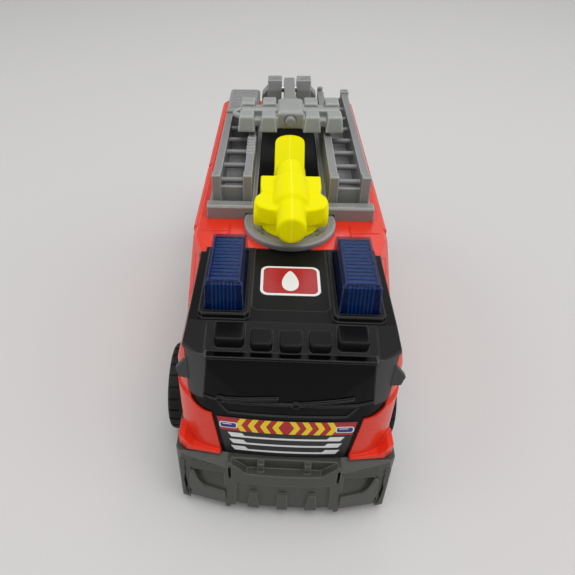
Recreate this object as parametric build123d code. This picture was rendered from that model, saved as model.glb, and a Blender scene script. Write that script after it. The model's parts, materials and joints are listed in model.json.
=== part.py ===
"""Toy fire engine: cab and box body on a chassis with free-wheeling axles, a water
cannon on a turntable, ladder deck, folding light mast and a light-and-sound unit.

Frame: +Z up, the truck faces -Y, +X is the driver's left.  The origin is on the ground
under the middle of the truck.  Millimetres.
"""
import os
from math import hypot

from build123d import *

os.makedirs("parts", exist_ok=True)

# ------------------------------------------------------------------ driving dimensions
# fits
seam = 0.12             # visible joint between two fixed shells
press_gap = 0.02        # pressed pins and axle ends
run_gap = 0.06          # radial play of a pin or axle in its bore
free_gap = 0.3          # between bodies that move past each other

# body form
truck_front = -100.0    # foremost point of the bumper
truck_rear = 100.0      # rearmost point of the rear step
body_half = 34.7        # half width of the red body
body_rear = 97.0
wall = 1.8              # wall of the red body and the cab front
cab_front = -95.2       # foremost point of the cab face
bow_half = 22.0         # half width of the gently bowed middle of the cab face
bow_drop = 1.1          # how far the bow falls back at its ends
corner_depth = 11.7     # length of the rounded cab corner along Y
cowl_z = 53.0           # from here up the windscreen leans back
face_lean = 1.7         # how far it leans back at the visor
belt_z = 64.7           # from here up the cab sides lean in
roof_half = 30.3        # half width of the cab roof
visor_z = 76.4          # lip of the visor
visor_depth = 9.5       # length of the sloping visor along Y
crease_z = 80.8         # where visor and roof meet
roof_z = 81.5           # flat roof of the box
roof_flat_y = -50.0     # the cab roof rises gently up to here
lean_end_belt = -61.9   # where the inward lean stops at the belt
lean_end_roof = -35.8   # and at the roof edge
roof_chamfer = 1.5
shell_foot = 30.6       # joint between chassis and red body

# cab front insert
grille_foot_half = 21.0
grille_top_half = 23.6
grille_top_z = 51.0
pillar_half = 30.8
pillar_foot_z = 58.2
insert_depth_y = -85.0
insert_rear_y = -47.0
insert_rear_half = 28.7
insert_side_rear_y = -49.8
lid_depth = 2.5         # the insert wraps this far down the cab sides
panel_proud = 0.7       # red corner panels stand this far proud of the grille
panel_foot = 31.8       # foot of the red corner panels
visor_half = 24.7       # the visor is sunk between the pillars
visor_tilt = 4.0        # degrees by which it is sunk
mirror_front = -91.2
mirror_thick = 1.6
cornice_proud = 0.7     # moulded edge along the top of the box sides
cornice_height = 4.1

# chassis
floor_z = 9.5
floor_wall = 2.0
tub_wall = 2.0
sill_flare = 0.6        # the sill stands this far proud of the body
bumper_half = 36.8
bumper_foot = 5.2
bumper_corner_foot = 3.4
bumper_bow = 1.1        # the middle of the bumper bows forward
bumper_ridge_z = 14.5   # the outer bumper faces fold here
bumper_top_edge = 28.0  # top edge of the outer bumper face
notch_floor = 25.8
notch_depth = 3.4
lip_foot = 20.2         # the middle panel is sunk below here
bumper_mid_half = 18.5
bumper_corner_y = -95.2
bumper_step = 1.2       # the outer bumper parts lie this far behind the middle
bumper_rear_y = -79.0
rear_step_z = 24.0

# wheels
axle_radius = 1.5
wheel_radius = 17.3
tyre_width = 14.0
track_half = 43.3       # outer face of the tyres from the middle of their axle
rim_radius = 10.6
front_axle_y = -54.6
rear_axle_y = 52.0
axle_play = 1.1         # the axles slide this far sideways; they lie at opposite ends
arch_gap = 2.2
arch_wall = 1.8
well_gap = 3.3          # from the tyre to the wheel well's inner wall
bearing_radius = 3.4
bearing_length = 8.0

# lamp housings on the visor: middle x, half width, front face, top
visor_lamp_sizes = [
    (-17.7, 4.4, -91.2, 80.7),
    (-8.4, 3.2, -91.9, 79.8),
    (0.0, 3.2, -92.2, 79.7),
    (8.4, 3.2, -91.9, 79.8),
    (17.7, 4.4, -91.2, 80.7),
]

# light bars
bezel_inner = 12.3
bezel_outer = 27.5
bezel_front_y = -83.0
bezel_rear_y = -48.7
bezel_top = 82.8
bezel_rim = 1.6
lens_front_lean = 2.0
lens_rear_lean = 3.2
lens_side_lean = 0.5
lens_top = 91.9
lens_wall = 1.2
led_radius = 2.4

# ladder deck
deck_front = -28.4
deck_plate = 1.6
deck_half = 30.8
bar_depth = 4.6
bar_top = 86.9
bar_inner = 13.5
rail_outer = 28.9       # outer face of the outer rails
rail_width = 3.0
rail_inner = 14.3       # channel side of the inner rails
rail_top = 95.2
post_proud = 1.0        # the front posts stand this far above the rails
post_front = -22.4
post_depth = 3.8
ladder_rear = 72.0
rung_first = -16.0
rung_pitch = 12.4
rung_count = 7
rung_radius = 1.1
rung_drop = 4.0         # rung centres below the rail tops
channel_half = 12.6     # half width of the dark channel between the ladders
channel_plate = 0.9
locker_front = 42.0
locker_top = 97.0

# turntable and cannon
pivot_y = -32.2
ring_radius = 16.6
ring_height = 2.2
ring_rim = 3.3
ring_dish = 1.0
spigot_radius = 6.0
pedestal_radius = 10.6
pedestal_height = 1.6
dimple_x = 9.4
dimple_y = -39.4
trunnion_y = -36.0
trunnion_rise = 5.1     # trunnion above the pedestal
lobe_outer = 12.9
ear_inner = 7.9         # ears of the base that stand in slots in the lobes
ear_width = 2.2
ear_radius = 2.7
pin_radius = 1.2
barrel_rise = 2.9       # barrel axis above the trunnion
barrel_radius = 5.2
hub_radius = 6.6
muzzle_y = -53.0
tail_y = -7.2
tail_radius = 5.9
wing_half = 11.05
wing_rear = -18.6
wing_rise = 2.5         # top of the wings above the barrel axis
wing_height = 5.4

# sound button
button_half = 6.05
button_front = -4.2
button_rear = 15.4
button_foot_z = 84.2    # front edge of the ramp
button_top = 96.6
button_travel = 2.5
button_flange = 1.4

# light mast
mast_y = 68.8
mast_z = 97.6
mast_pin_radius = 1.6
mast_eye = 5.2
arm_half = 2.5
arm_shoulder_y = 36.0
arm_shoulder_half = 4.4
tongue_radius = 2.3
tongue_z = 100.8
tongue_tip_y = 16.4
head_bottom = 96.9
lamp_top = 103.4
lamp_half_width = 3.7
lamp_half_length = 4.9
lamp_centres_x = (9.1, 18.3)
lamp_centres_y = (20.6, 36.4)
spreader_front = 26.4
spreader_rear = 30.6
spreader_top = 102.6
centre_half = 5.4
centre_front = 19.0
centre_top = 104.7
clevis_inner = 3.6
clevis_outer = 10.4
clevis_top = 102.8

# electrics and screws
battery_radius = 5.2
battery_length = 44.5
battery_spread = 1.0    # from the middle to each cell
battery_front = -19.2
box_side_gap = 1.7
contact_space = 2.2     # from each end of the cells to the end of the box
box_wall = 1.5
door_thick = 1.5
door_margin = 1.4
board_z = 66.0
board_thick = 1.6
board_half = 17.0
board_front = -14.0
board_rear = 30.0
speaker_radius = 11.5
speaker_y = -36.5
speaker_height = 5.0
screw_radius = 1.1
screw_head_radius = 2.2
screw_head = 1.0
screw_posts = [(20.5, -30.0), (-20.5, -30.0), (20.5, 82.0), (-20.5, 82.0)]
switch_y = 34.4
switch_travel = 4.0

# worked out from the above
visor_y = cab_front + face_lean
crease_y = visor_y + visor_depth
roof_under = roof_z - wall
axle_z = wheel_radius
arch_radius = wheel_radius + arch_gap
well_inner = track_half - tyre_width - well_gap
well_radius = arch_radius + arch_wall
floor_top = floor_z + floor_wall
deck_top = roof_z + deck_plate
post_top = rail_top + post_proud
channel_top = roof_z + channel_plate
ring_top = roof_z + ring_height
dish_top = ring_top - ring_dish
pedestal_top = dish_top + pedestal_height
trunnion_z = pedestal_top + trunnion_rise
lobe_radius = trunnion_rise - free_gap
barrel_z = trunnion_z + barrel_rise
wing_top = barrel_z + wing_rise
lens_inner = bezel_inner + bezel_rim
lens_outer = bezel_outer - bezel_rim
lens_front = bezel_front_y + bezel_rim
lens_rear = bezel_rear_y - bezel_rim
battery_x = battery_radius + battery_spread
battery_z = floor_z + door_thick + battery_radius + 0.1
battery_rear = battery_front + battery_length
box_half = battery_x + battery_radius + box_side_gap
box_front = battery_front - contact_space
box_rear = battery_rear + contact_space
box_top = floor_z + door_thick + 2 * battery_radius + 0.5
button_middle_y = (button_front + button_rear) / 2
cap_height = 0.9        # dome of the switch under the button
board_top = board_z + board_thick
FAR = 300.0


# ------------------------------------------------------------------ helpers
def block(x0, x1, y0, y1, z0, z1):
    """Box between two corners."""
    size = (abs(x1 - x0), abs(y1 - y0), abs(z1 - z0))
    return Pos((x0 + x1) / 2, (y0 + y1) / 2, (z0 + z1) / 2) * Box(*size)


def prism_x(points, x0, x1):
    """Outline of (y, z) points pulled along X."""
    face = make_face(Plane((x0, 0, 0), x_dir=(0, 1, 0), z_dir=(1, 0, 0)) * Polyline(*points, close=True))
    return extrude(face, amount=x1 - x0, dir=(1, 0, 0))


def prism_y(points, y0, y1):
    """Outline of (x, z) points pulled along Y."""
    face = make_face(Plane((0, y0, 0), x_dir=(1, 0, 0), z_dir=(0, -1, 0)) * Polyline(*points, close=True))
    return extrude(face, amount=y1 - y0, dir=(0, 1, 0))


def prism_z(points, z0, z1):
    """Outline of (x, y) points pulled along Z."""
    return extrude(make_face(Pos(0, 0, z0) * Polyline(*points, close=True)), amount=z1 - z0, dir=(0, 0, 1))


def rod_x(y, z, radius, x0, x1):
    return Pos((x0 + x1) / 2, y, z) * Rot(0, 90, 0) * Cylinder(radius, x1 - x0)


def rod_y(x, z, radius, y0, y1):
    return Pos(x, (y0 + y1) / 2, z) * Rot(90, 0, 0) * Cylinder(radius, y1 - y0)


def rod_z(x, y, radius, z0, z1):
    return Pos(x, y, (z0 + z1) / 2) * Cylinder(radius, z1 - z0)


def mirrored(shape):
    return mirror(shape, Plane.YZ)


def both_sides(shape):
    return shape + mirrored(shape)


def tilted(shape, angle, y, z):
    """Shape turned by an angle in degrees about a line along X through (y, z)."""
    return Pos(0, y, z) * Rot(angle, 0, 0) * Pos(0, -y, -z) * shape


def save(name, shape):
    export_step(shape, f"parts/{name}.step")


# ------------------------------------------------------------------ form of the body
def plan_face(grow=0.0):
    """Body from above: bowed cab face, rounded cab corners, square rear."""
    half = body_half + grow
    front = cab_front - grow
    bow_end = Vector(bow_half + grow / 2, front + bow_drop)
    side = Vector(half, cab_front + corner_depth)
    mid = bow_end + Vector(0.68 * (side.X - bow_end.X), 0.32 * (side.Y - bow_end.Y))
    rear = body_rear + grow
    outline = [
        ThreePointArc((-bow_end.X, bow_end.Y), (0, front), (bow_end.X, bow_end.Y)),
        ThreePointArc((bow_end.X, bow_end.Y), (mid.X, mid.Y), (side.X, side.Y)),
        Polyline((half, side.Y), (half, rear), (-half, rear), (-half, side.Y)),
        ThreePointArc((-half, side.Y), (-mid.X, mid.Y), (-bow_end.X, bow_end.Y)),
    ]
    return make_face(outline)


def side_profile(grow=0.0):
    """Body from the side as (y, z) points."""
    return [
        (cab_front - grow, 0),
        (cab_front - grow, cowl_z),
        (visor_y - grow, visor_z + grow),
        (crease_y - grow / 2, crease_z + grow),
        (roof_flat_y, roof_z + grow),
        (body_rear + grow, roof_z + grow),
        (body_rear + grow, 0),
    ]


def lean_wedge(grow=0.0):
    """What the inward lean takes off the upper cab side, on +X."""
    run, rise = body_half - roof_half, roof_z - belt_z
    out = Vector(rise, run) * (grow / hypot(run, rise))
    low = Vector(body_half + run * 0.5, belt_z - rise * 0.5) + out
    high = Vector(roof_half - run * 0.5, roof_z + rise * 0.5) + out
    wedge = prism_y([(low.X, low.Y), (high.X, high.Y), (80, high.Y), (80, low.Y)], -FAR, FAR)
    belt_end = Vector(body_half, lean_end_belt, belt_z)
    roof_end = Vector(body_half, lean_end_roof, roof_z)
    inner_end = Vector(roof_half, roof_flat_y, roof_z)
    normal = (roof_end - belt_end).cross(inner_end - belt_end).normalized()
    front_side = normal if normal.Y < 0 else normal * -1
    plane = Plane(belt_end + front_side * -grow, z_dir=front_side)
    return split(wedge, bisect_by=plane, keep=Keep.TOP)


def body_form(grow=0.0):
    """Solid of cab and box with its faces moved out by grow (in, if negative)."""
    form = extrude(plan_face(grow), amount=FAR / 2) & prism_x(side_profile(grow), -FAR, FAR)
    side = body_half + grow
    top = roof_z + grow
    cut = roof_chamfer
    half_view = [(side, 0), (side, top - cut), (side - cut, top)]
    front_view = half_view + [(-x, z) for x, z in reversed(half_view)]
    form = form & prism_y(front_view, -FAR, FAR)
    wedge = lean_wedge(grow)
    return form - wedge - mirrored(wedge)


OUTER = body_form()
INNER = body_form(-wall)


def front_skin(region, depth, proud=0.0):
    """Part of a region from proud of the cab face to depth behind it."""
    return (region & (Pos(0, -proud, 0) * OUTER)) - Pos(0, depth, 0) * OUTER


def roof_skin(region, depth, proud=0.0):
    """Part of a region from proud of the roof to depth below it."""
    return (region & (Pos(0, 0, proud) * OUTER)) - Pos(0, 0, -depth) * OUTER


def side_skin(region, depth):
    """Part of a region within depth of the body's +X side."""
    return (region & OUTER) - Pos(-depth, 0, 0) * OUTER


# ------------------------------------------------------------------ cab front insert
def insert_region(gap=0.0):
    """Space of the black cab front: grille, windscreen, pillars and cab roof."""
    foot, top, side = grille_foot_half - gap, grille_top_half - gap, pillar_half - gap
    bend = (side - 1.7, pillar_foot_z - 4.6)
    grille = [(top, grille_top_z), (foot, shell_foot), (foot, 0)]
    outline = [
        ThreePointArc((side, pillar_foot_z), bend, (top, grille_top_z)),
        Polyline(*grille, *[(-x, z) for x, z in reversed(grille)]),
        ThreePointArc((-top, grille_top_z), (-bend[0], bend[1]), (-side, pillar_foot_z)),
        Polyline((-side, pillar_foot_z), (-side, FAR / 3), (side, FAR / 3), (side, pillar_foot_z)),
    ]
    plane = Plane((0, insert_depth_y - gap, 0), x_dir=(1, 0, 0), z_dir=(0, -1, 0))
    front = extrude(plane * make_face(outline), amount=50, dir=(0, -1, 0))
    slope = (crease_z - visor_z) / visor_depth
    foot_z = visor_z - lid_depth - 8 * slope + gap
    lid_side = [
        (visor_y - 8, foot_z),
        (crease_y, crease_z - lid_depth + gap),
        (roof_flat_y, roof_z - lid_depth + gap),
        (insert_rear_y - gap, roof_z - lid_depth + gap),
        (insert_rear_y - gap, roof_z + 5),
        (visor_y - 8, roof_z + 5),
    ]
    lid = prism_x(lid_side, -FAR, FAR)
    corner = block(insert_rear_half - gap, FAR, insert_side_rear_y - gap, FAR, 0, FAR)
    return front + lid - corner - mirrored(corner)


def windscreen_recess():
    glass = [(-25.9, 58.2), (-21, 57.0), (21, 57.0), (25.9, 58.2), (24.2, 75.0), (-24.2, 75.0)]
    return front_skin(prism_y(glass, -FAR, 0), 0.6)


def cowl_recess():
    """Stepped hollow between the windscreen and the grille."""
    return front_skin(prism_y([(-21.5, 56.2), (-18.4, 51.6), (18.4, 51.6), (21.5, 56.2)], -FAR, 0), 0.5)


def wipers():
    """Two wiper arms in relief along the foot of the windscreen."""
    arms = prism_y([(1.5, 57.0), (3.5, 56.6), (19.5, 59.4), (19.8, 60.2)], -FAR, 0)
    arms += prism_y([(-21.5, 58.0), (-20.5, 57.2), (-3.2, 58.6), (-3.0, 59.4)], -FAR, 0)
    pivots = rod_y(2.5, 56.6, 1.2, -FAR, 0) + rod_y(-20.8, 57.4, 1.2, -FAR, 0)
    return front_skin(arms + pivots, 0.8, 0.15)


def visor_dish():
    """Takes the visor down towards its lip, between the pillars."""
    region = block(-visor_half, visor_half, -FAR, crease_y, visor_z - 1.6, FAR)
    return (region & OUTER) - tilted(OUTER, visor_tilt, crease_y, crease_z)


def visor_lip():
    """Thin ledge over the windscreen, between the pillars."""
    return front_skin(block(-visor_half, visor_half, -FAR, -80, visor_z - 1.0, visor_z), 1.4, 0.9)


def visor_lamps():
    """Five rounded lamp housings on the sloping visor."""
    housings = []
    for x, half, front, top in visor_lamp_sizes:
        lamp = block(x - half, x + half, front, crease_y + 3, visor_z - 2, top)
        lamp = fillet(lamp.edges().filter_by(Axis.Z).group_by(Axis.Y)[0], 1.3)
        housings.append(fillet(lamp.faces().sort_by(Axis.Z)[-1].edges(), 0.5))
    return housings


def bezel_frames():
    """Raised frames that hold the two light bars."""
    frame = block(bezel_inner, bezel_outer, bezel_front_y, bezel_rear_y, 79, bezel_top)
    frame = chamfer(frame.edges().filter_by(Axis.Z), 1.2)
    frame = chamfer(frame.faces().sort_by(Axis.Z)[-1].edges(), 0.35)
    opening = block(lens_inner - seam, lens_outer + seam, lens_front - seam, lens_rear + seam, 70, 90)
    return both_sides(frame - opening)


def roof_panel():
    """Sunk middle panel of the cab roof, between the light bars."""
    panel = block(-11.9, 11.9, -78.6, -30, 60, 90)
    panel = chamfer(panel.edges().filter_by(Axis.Z), 1.6)
    return roof_skin(panel, 0.4)


def make_cab_front():
    part = (OUTER - INNER) & insert_region(seam)
    part -= windscreen_recess()
    part -= cowl_recess()
    part += wipers()
    part -= visor_dish()
    part += visor_lip() - INNER
    for housing in visor_lamps():
        part += housing - INNER
    part += bezel_frames() - OUTER
    part -= roof_panel()
    return part & block(-FAR, FAR, -FAR, FAR, shell_foot, FAR)


# ------------------------------------------------------------------ red body
def corner_panels():
    """Red panels beside the grille, proud of the cab face, with a flared foot."""
    raised = body_form(panel_proud)
    outline = [(grille_foot_half, panel_foot), (grille_top_half, 55.2), (40, 55.2), (40, panel_foot)]
    return prism_y(outline, -FAR, -76) & raised


def foot_lip():
    """Flared foot of a corner panel: thin beside the grille, tall at the outer corner."""
    corner = body_half + 0.8
    band = [(grille_foot_half + 0.3, -96.2), (corner - 2.8, -94.7), (corner, -92.4), (corner, -86), (20, -86)]
    outline = [(20, 1.1), (30.5, 1.7), (33.6, 4.6), (40, 4.6), (40, 0), (20, 0)]
    outline = [(x, panel_foot + z) for x, z in outline]
    lip = prism_z(band, panel_foot, 60) & prism_y(outline, -FAR, -80)
    return chamfer(lip.edges().group_by(Axis.Y)[0], 0.3)


def cornice():
    """Moulded edge along the top of the box side, on +X, in two lengths."""
    high = roof_z - 1.6
    low = high - cornice_height
    out = body_half + cornice_proud
    root = out - 3
    edge = [(root, low - 0.8), (body_half, low - 0.8), (out, low), (out, high)]
    edge += [(out - 1.2, high + 1), (root, high + 1)]
    front = lean_end_roof + 4
    return prism_y(edge, front, 17) + prism_y(edge, 19, body_rear)


def window_outline(grow=0.0):
    """Cab side window as (y, z) points."""
    low, high = 62.8 - grow, 75.6 + grow
    front, rear = -80.5 - grow, -61.5 + grow
    return [(front, low), (rear, low), (rear, high), (front + 4, high), (front, high - 6)]


def side_groove(points, width=0.5, depth=0.35):
    """Closed panel line of (y, z) points on the +X side."""
    plane = Plane((0, 0, 0), x_dir=(0, 1, 0), z_dir=(1, 0, 0))
    line = make_face(Polyline(*points, close=True))
    band = line - offset(line, amount=-width)
    return side_skin(extrude(plane * band, amount=60), depth)


def door_lines():
    """Panel line round the cab door, and its handle recess."""
    door = [(-83, 40), (-77.5, 40), (-74, 44), (-57, 44), (-57, 77), (-78, 77), (-83, 68)]
    handle = side_skin(prism_x([(-63.5, 57), (-58.8, 57), (-58.8, 59.4), (-63.5, 59.4)], 0, 60), 0.9)
    return side_groove(door) + handle


def shutter(front, rear, foot):
    """Sunk roller shutter with slats between front and rear on the +X side."""
    top = 75.0
    opening = side_skin(prism_x([(front, foot), (rear, foot), (rear, top), (front, top)], 0, 60), 0.8)
    pitch = 3.4
    slats = None
    for i in range(int((top - foot) / pitch)):
        z = foot + 0.5 + i * pitch
        edge = [(front, z), (rear, z), (rear, z + pitch - 0.9), (front, z + pitch - 0.9)]
        slat = side_skin(prism_x(edge, 0, body_half - 0.45), 0.8)
        slats = slat if slats is None else slats + slat
    return opening - slats


def side_relief():
    """Everything sunk into the +X side of the body."""
    relief = door_lines()
    for front, rear, foot in [(-27, 2, 41), (5, 32, 41), (72, 92, 34)]:
        relief += shutter(front, rear, foot)
    relief += side_groove([(35, 44), (69, 44), (69, 75), (35, 75)])
    return relief


def rear_relief():
    """Roller shutter and panel lines on the rear face."""
    cut = block(-24, 24, body_rear - 0.8, FAR, 42, 74)
    pitch = 3.4
    for i in range(9):
        z = 42.5 + i * pitch
        cut -= block(-24, 24, body_rear - 1, body_rear - 0.4, z, z + pitch - 0.9)
    return cut


def roof_lines():
    """T-shaped panel lines in the red roof behind each light bar."""
    stem = block(21.4, 21.9, -47, -31, roof_z - 0.4, FAR)
    bar = block(21.4, 32, -36.6, -36.1, roof_z - 0.4, FAR)
    return stem + bar


def wheel_cut(radius, inner):
    """Cylinders round both axles, outside |x| = inner."""
    cut = None
    for y in (front_axle_y, rear_axle_y):
        pair = both_sides(rod_x(y, axle_z, radius, inner, 60))
        cut = pair if cut is None else cut + pair
    return cut


def button_plan(grow=0.0):
    """Button from above: square front, round rear."""
    half = button_half + grow
    front, bend = button_front - grow, button_rear - button_half
    outline = [
        Polyline((half, bend), (half, front), (-half, front), (-half, bend)),
        ThreePointArc((-half, bend), (0, button_rear + grow), (half, bend)),
    ]
    return make_face(outline)


def make_body_shell():
    part = OUTER + both_sides(corner_panels() + foot_lip() + cornice())
    part = part & block(-FAR, FAR, -FAR, FAR, shell_foot, FAR)
    part -= block(-FAR, FAR, -FAR, -86, 0, panel_foot)
    part = part - INNER - insert_region()
    relief = side_relief()
    window = side_skin(prism_x(window_outline(), 0, 60), 1.0)
    part -= both_sides(relief + window + roof_lines())
    part -= rear_relief()
    # shelf under the rear edge of the cab front
    part += both_sides(block(14, 24, insert_rear_y - 2.5, insert_rear_y + 4, roof_under - 1.5, roof_under))
    for x, y in screw_posts:
        part += rod_z(x, y, 3.0, floor_top, roof_under) - rod_z(x, y, screw_radius, 0, floor_top + 10)
    for x in (-14, 14):
        for y in (board_front + 3, board_rear - 3):
            part += rod_z(x, y, 1.8, board_top, roof_under)
    part -= rod_z(0, pivot_y, spigot_radius + run_gap, 60, 90)
    part -= extrude(Pos(0, 0, 60) * button_plan(free_gap), amount=40)
    return part - wheel_cut(well_radius + seam, well_inner - arch_wall - seam)


def make_window():
    """Dark glazing of the +X cab side, set flush in the door."""
    return side_skin(prism_x(window_outline(-seam), 0, 60), 1.0)


def make_mirror():
    """Triangular mirror arm on the +X cab corner."""
    root = body_half - 5.7
    outline = [(root, 74.0), (body_half - 0.7, 67.4), (body_half - 1.5, 63.9), (root, 63.1)]
    return prism_y(outline, mirror_front, mirror_front + mirror_thick) - OUTER


# ------------------------------------------------------------------ chassis
def bumper_form(low, high):
    """Bumper between two heights: bowed middle, slanting outer parts, square rear."""
    mid = bumper_mid_half
    bow_end = truck_front + bumper_bow
    outer = [
        (mid, bow_end),
        (mid + 0.9, bow_end + bumper_step - 1.0),
        (bumper_half - 1.6, bumper_corner_y),
        (bumper_half, bumper_corner_y + 2.2),
        (bumper_half, bumper_rear_y),
    ]
    front = ThreePointArc((-mid, bow_end), (0, truck_front), (mid, bow_end))
    rest = Polyline(*outer, *[(-x, y) for x, y in reversed(outer)])
    return extrude(Pos(0, 0, low) * make_face([front, rest]), amount=high - low)


BUMPER = bumper_form(-40, 80)


def sunk(points, depth):
    """Panel of (x, z) points, depth behind the bumper's face."""
    return (prism_y(points, -FAR, -80) & BUMPER) - Pos(0, depth, 0) * BUMPER


def folded(points, angle):
    """Panel of (x, z) points that leans back from the ridge by an angle."""
    return (prism_y(points, -FAR, -80) & BUMPER) - tilted(BUMPER, angle, bumper_corner_y - 2, bumper_ridge_z)


def bumper_relief():
    """Cuts in the +X half of the bumper face."""
    ridge, inner = bumper_ridge_z, bumper_mid_half + 1.7
    top = bumper_top_edge
    upper = [(inner, ridge), (28.1, ridge), (30.4, ridge + 6), (31.0, top), (inner, top)]
    lower = [(inner, ridge - 0.5), (28.3, ridge - 0.5), (29.4, 12.4), (31.9, 11.8), (33.4, 8.5)]
    lower += [(33.4, 0), (inner, 0)]
    cut = folded(upper, -9) + folded(lower, 11)
    cut += sunk([(inner, 9.5), (28.4, 8.4), (28.4, 7.9), (inner, 9.0)], 2.4)
    cut += sunk([(34.5, 20.4), (35.9, 12), (35.5, 4.6), (33.9, 11)], 1.6)
    slot = bumper_mid_half - 0.8
    cut += block(slot, slot + 1.0, -FAR, truck_front + notch_depth + 0.4, 21.6, 28.6)
    slope = [(-105, top - 3.8), (-94.6, shell_foot), (-94.6, 60), (-105, 60)]
    return cut + prism_x(slope, bumper_mid_half + 0.4, 60)


def middle_panel():
    """Sunk lower panel of the bumper, cut round three tapered teeth."""
    panel = sunk([(-16.8, 0), (-16.0, lip_foot), (16.0, lip_foot), (16.8, 0)], 1.0)
    top = lip_foot - 5.8
    panel -= prism_y([(-2.1, 0), (2.1, 0), (1.5, top), (-1.5, top)], -FAR, -90)
    return panel - both_sides(prism_y([(7.5, 0), (12.8, 0), (11.3, top), (9.0, top)], -FAR, -90))


def make_bumper():
    part = bumper_form(bumper_corner_foot, shell_foot)
    part -= block(-bumper_mid_half, bumper_mid_half, -FAR, -70, 0, bumper_foot)
    part -= both_sides(bumper_relief())
    back = truck_front + notch_depth
    notch = [(17.6, 40), (17.6, shell_foot), (12.4, notch_floor)]
    part -= prism_y(notch + [(-x, z) for x, z in reversed(notch)], -FAR, back)
    part += both_sides(block(6.7, 8.9, back - 1.6, back + 0.5, notch_floor - 1, shell_foot - 0.6))
    part -= middle_panel()
    # hollow behind the face, open below
    part -= block(-17, 17, back + 1.8, FAR, 0, shell_foot - 2.4)
    part -= both_sides(block(17, 33.5, bumper_corner_y + 4.6, FAR, 0, shell_foot - 2.4))
    # pads under the red corner panels
    inner = grille_foot_half + 0.4
    pads = body_form(-0.4) & block(inner, 60, -FAR, -86 - seam, shell_foot - 1, panel_foot - seam)
    return part + both_sides(pads)


def tub_outline(grow):
    half = body_half + grow
    return [(half, -86), (half, body_rear + grow), (-half, body_rear + grow), (-half, -86)]


def make_tub():
    """Floor and sill walls with wheel wells."""
    outline = tub_outline(sill_flare)
    inner = tub_outline(sill_flare - tub_wall)
    part = prism_z(outline, floor_z, shell_foot) - prism_z(inner, floor_top, 60)
    part += block(-body_half, body_half, -86, -84, floor_z, shell_foot)
    half = body_half + sill_flare
    part += wheel_cut(well_radius, well_inner - arch_wall) & block(-half, half, -FAR, FAR, floor_z, 60)
    return part - wheel_cut(arch_radius, well_inner)


def bearings():
    """Bosses and bores for the two axles."""
    bosses = None
    for y in (front_axle_y, rear_axle_y):
        inner = well_inner - arch_wall - bearing_length
        boss = rod_x(y, axle_z, bearing_radius, inner, well_inner - arch_wall)
        boss += block(inner, well_inner - arch_wall, y - 1.5, y + 1.5, floor_top, axle_z)
        bosses = both_sides(boss) if bosses is None else bosses + both_sides(boss)
    return bosses


def battery_box(grow, top):
    """Space of the battery compartment, grown sideways by grow."""
    return block(-box_half - grow, box_half + grow, box_front - grow, box_rear + grow, floor_z, top)


def rear_step():
    step = block(-33.5, 33.5, body_rear - 2, truck_rear, floor_z, rear_step_z)
    step = chamfer(step.edges().filter_by(Axis.Z), 1.5)
    pocket = block(-20, 20, truck_rear - 0.8, FAR, 12.5, 21)
    return step - pocket


def make_chassis():
    part = make_tub() + make_bumper() + rear_step() + bearings()
    part += battery_box(box_wall, box_top + box_wall)
    part += rod_z(0, speaker_y, speaker_radius + 1.4, floor_z, floor_top + 3)
    part -= rod_z(0, speaker_y, speaker_radius + press_gap, floor_top, 60)
    for i in range(-3, 4):
        part -= block(-7, 7, speaker_y + i * 2.6 - 0.6, speaker_y + i * 2.6 + 0.6, 0, floor_top)
    part -= battery_box(0, box_top)
    part -= battery_box(door_margin + seam, floor_z + door_thick)
    part -= rod_x(front_axle_y, axle_z, axle_radius + run_gap, -FAR, FAR)
    part -= rod_x(rear_axle_y, axle_z, axle_radius + run_gap, -FAR, FAR)
    for x, y in screw_posts:
        part -= rod_z(x, y, screw_radius + 0.2, 0, 20)
        part -= rod_z(x, y, screw_head_radius + 0.3, 0, floor_z + screw_head)
    part -= block(-2.0, 2.0, switch_y - 0.3, switch_y + 3.3 + switch_travel, 0, floor_top)
    lamp_pocket = block(23.5 - seam, 31.5 + seam, truck_rear - 1.2, FAR, 13 - seam, 20 + seam)
    return part - both_sides(lamp_pocket)


def make_door():
    """Battery door, flush with the chassis floor."""
    return battery_box(door_margin, floor_z + door_thick)


# ------------------------------------------------------------------ wheels
def make_axle(y, shift):
    reach = track_half - 3.0
    return rod_x(y, axle_z, axle_radius, -reach + shift, reach + shift)


def make_rim():
    """Dished rim on the +X end of an axle, at the origin, outer side towards +X."""
    face = track_half
    inner = track_half - tyre_width
    profile = [
        (0, inner + 4.5), (3.2, inner + 4.5), (3.2, inner - 2.0), (4.4, inner - 2.0), (4.4, inner + 8),
        (rim_radius - 1.2, inner + 8), (rim_radius - 1.2, inner),
        (rim_radius, inner), (rim_radius, face - 0.6),
        (rim_radius + 0.8, face - 0.6), (rim_radius + 0.8, face), (rim_radius - 1.0, face),
        (rim_radius - 2.0, face - 2.6), (4.6, face - 2.6), (3.8, face - 0.8), (0, face - 0.8),
    ]
    plane = Plane((0, 0, 0), x_dir=(0, 0, 1), z_dir=(0, 1, 0))
    rim = revolve(plane * make_face(Polyline(*profile, close=True)), axis=Axis.X, revolution_arc=360)
    for i in range(8):
        rim -= Rot(45 * i, 0, 0) * rod_x(0, 6.5, 1.0, face - 8, face)
    return rim - rod_x(0, 0, axle_radius + press_gap, 0, track_half - 3.0)


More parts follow.
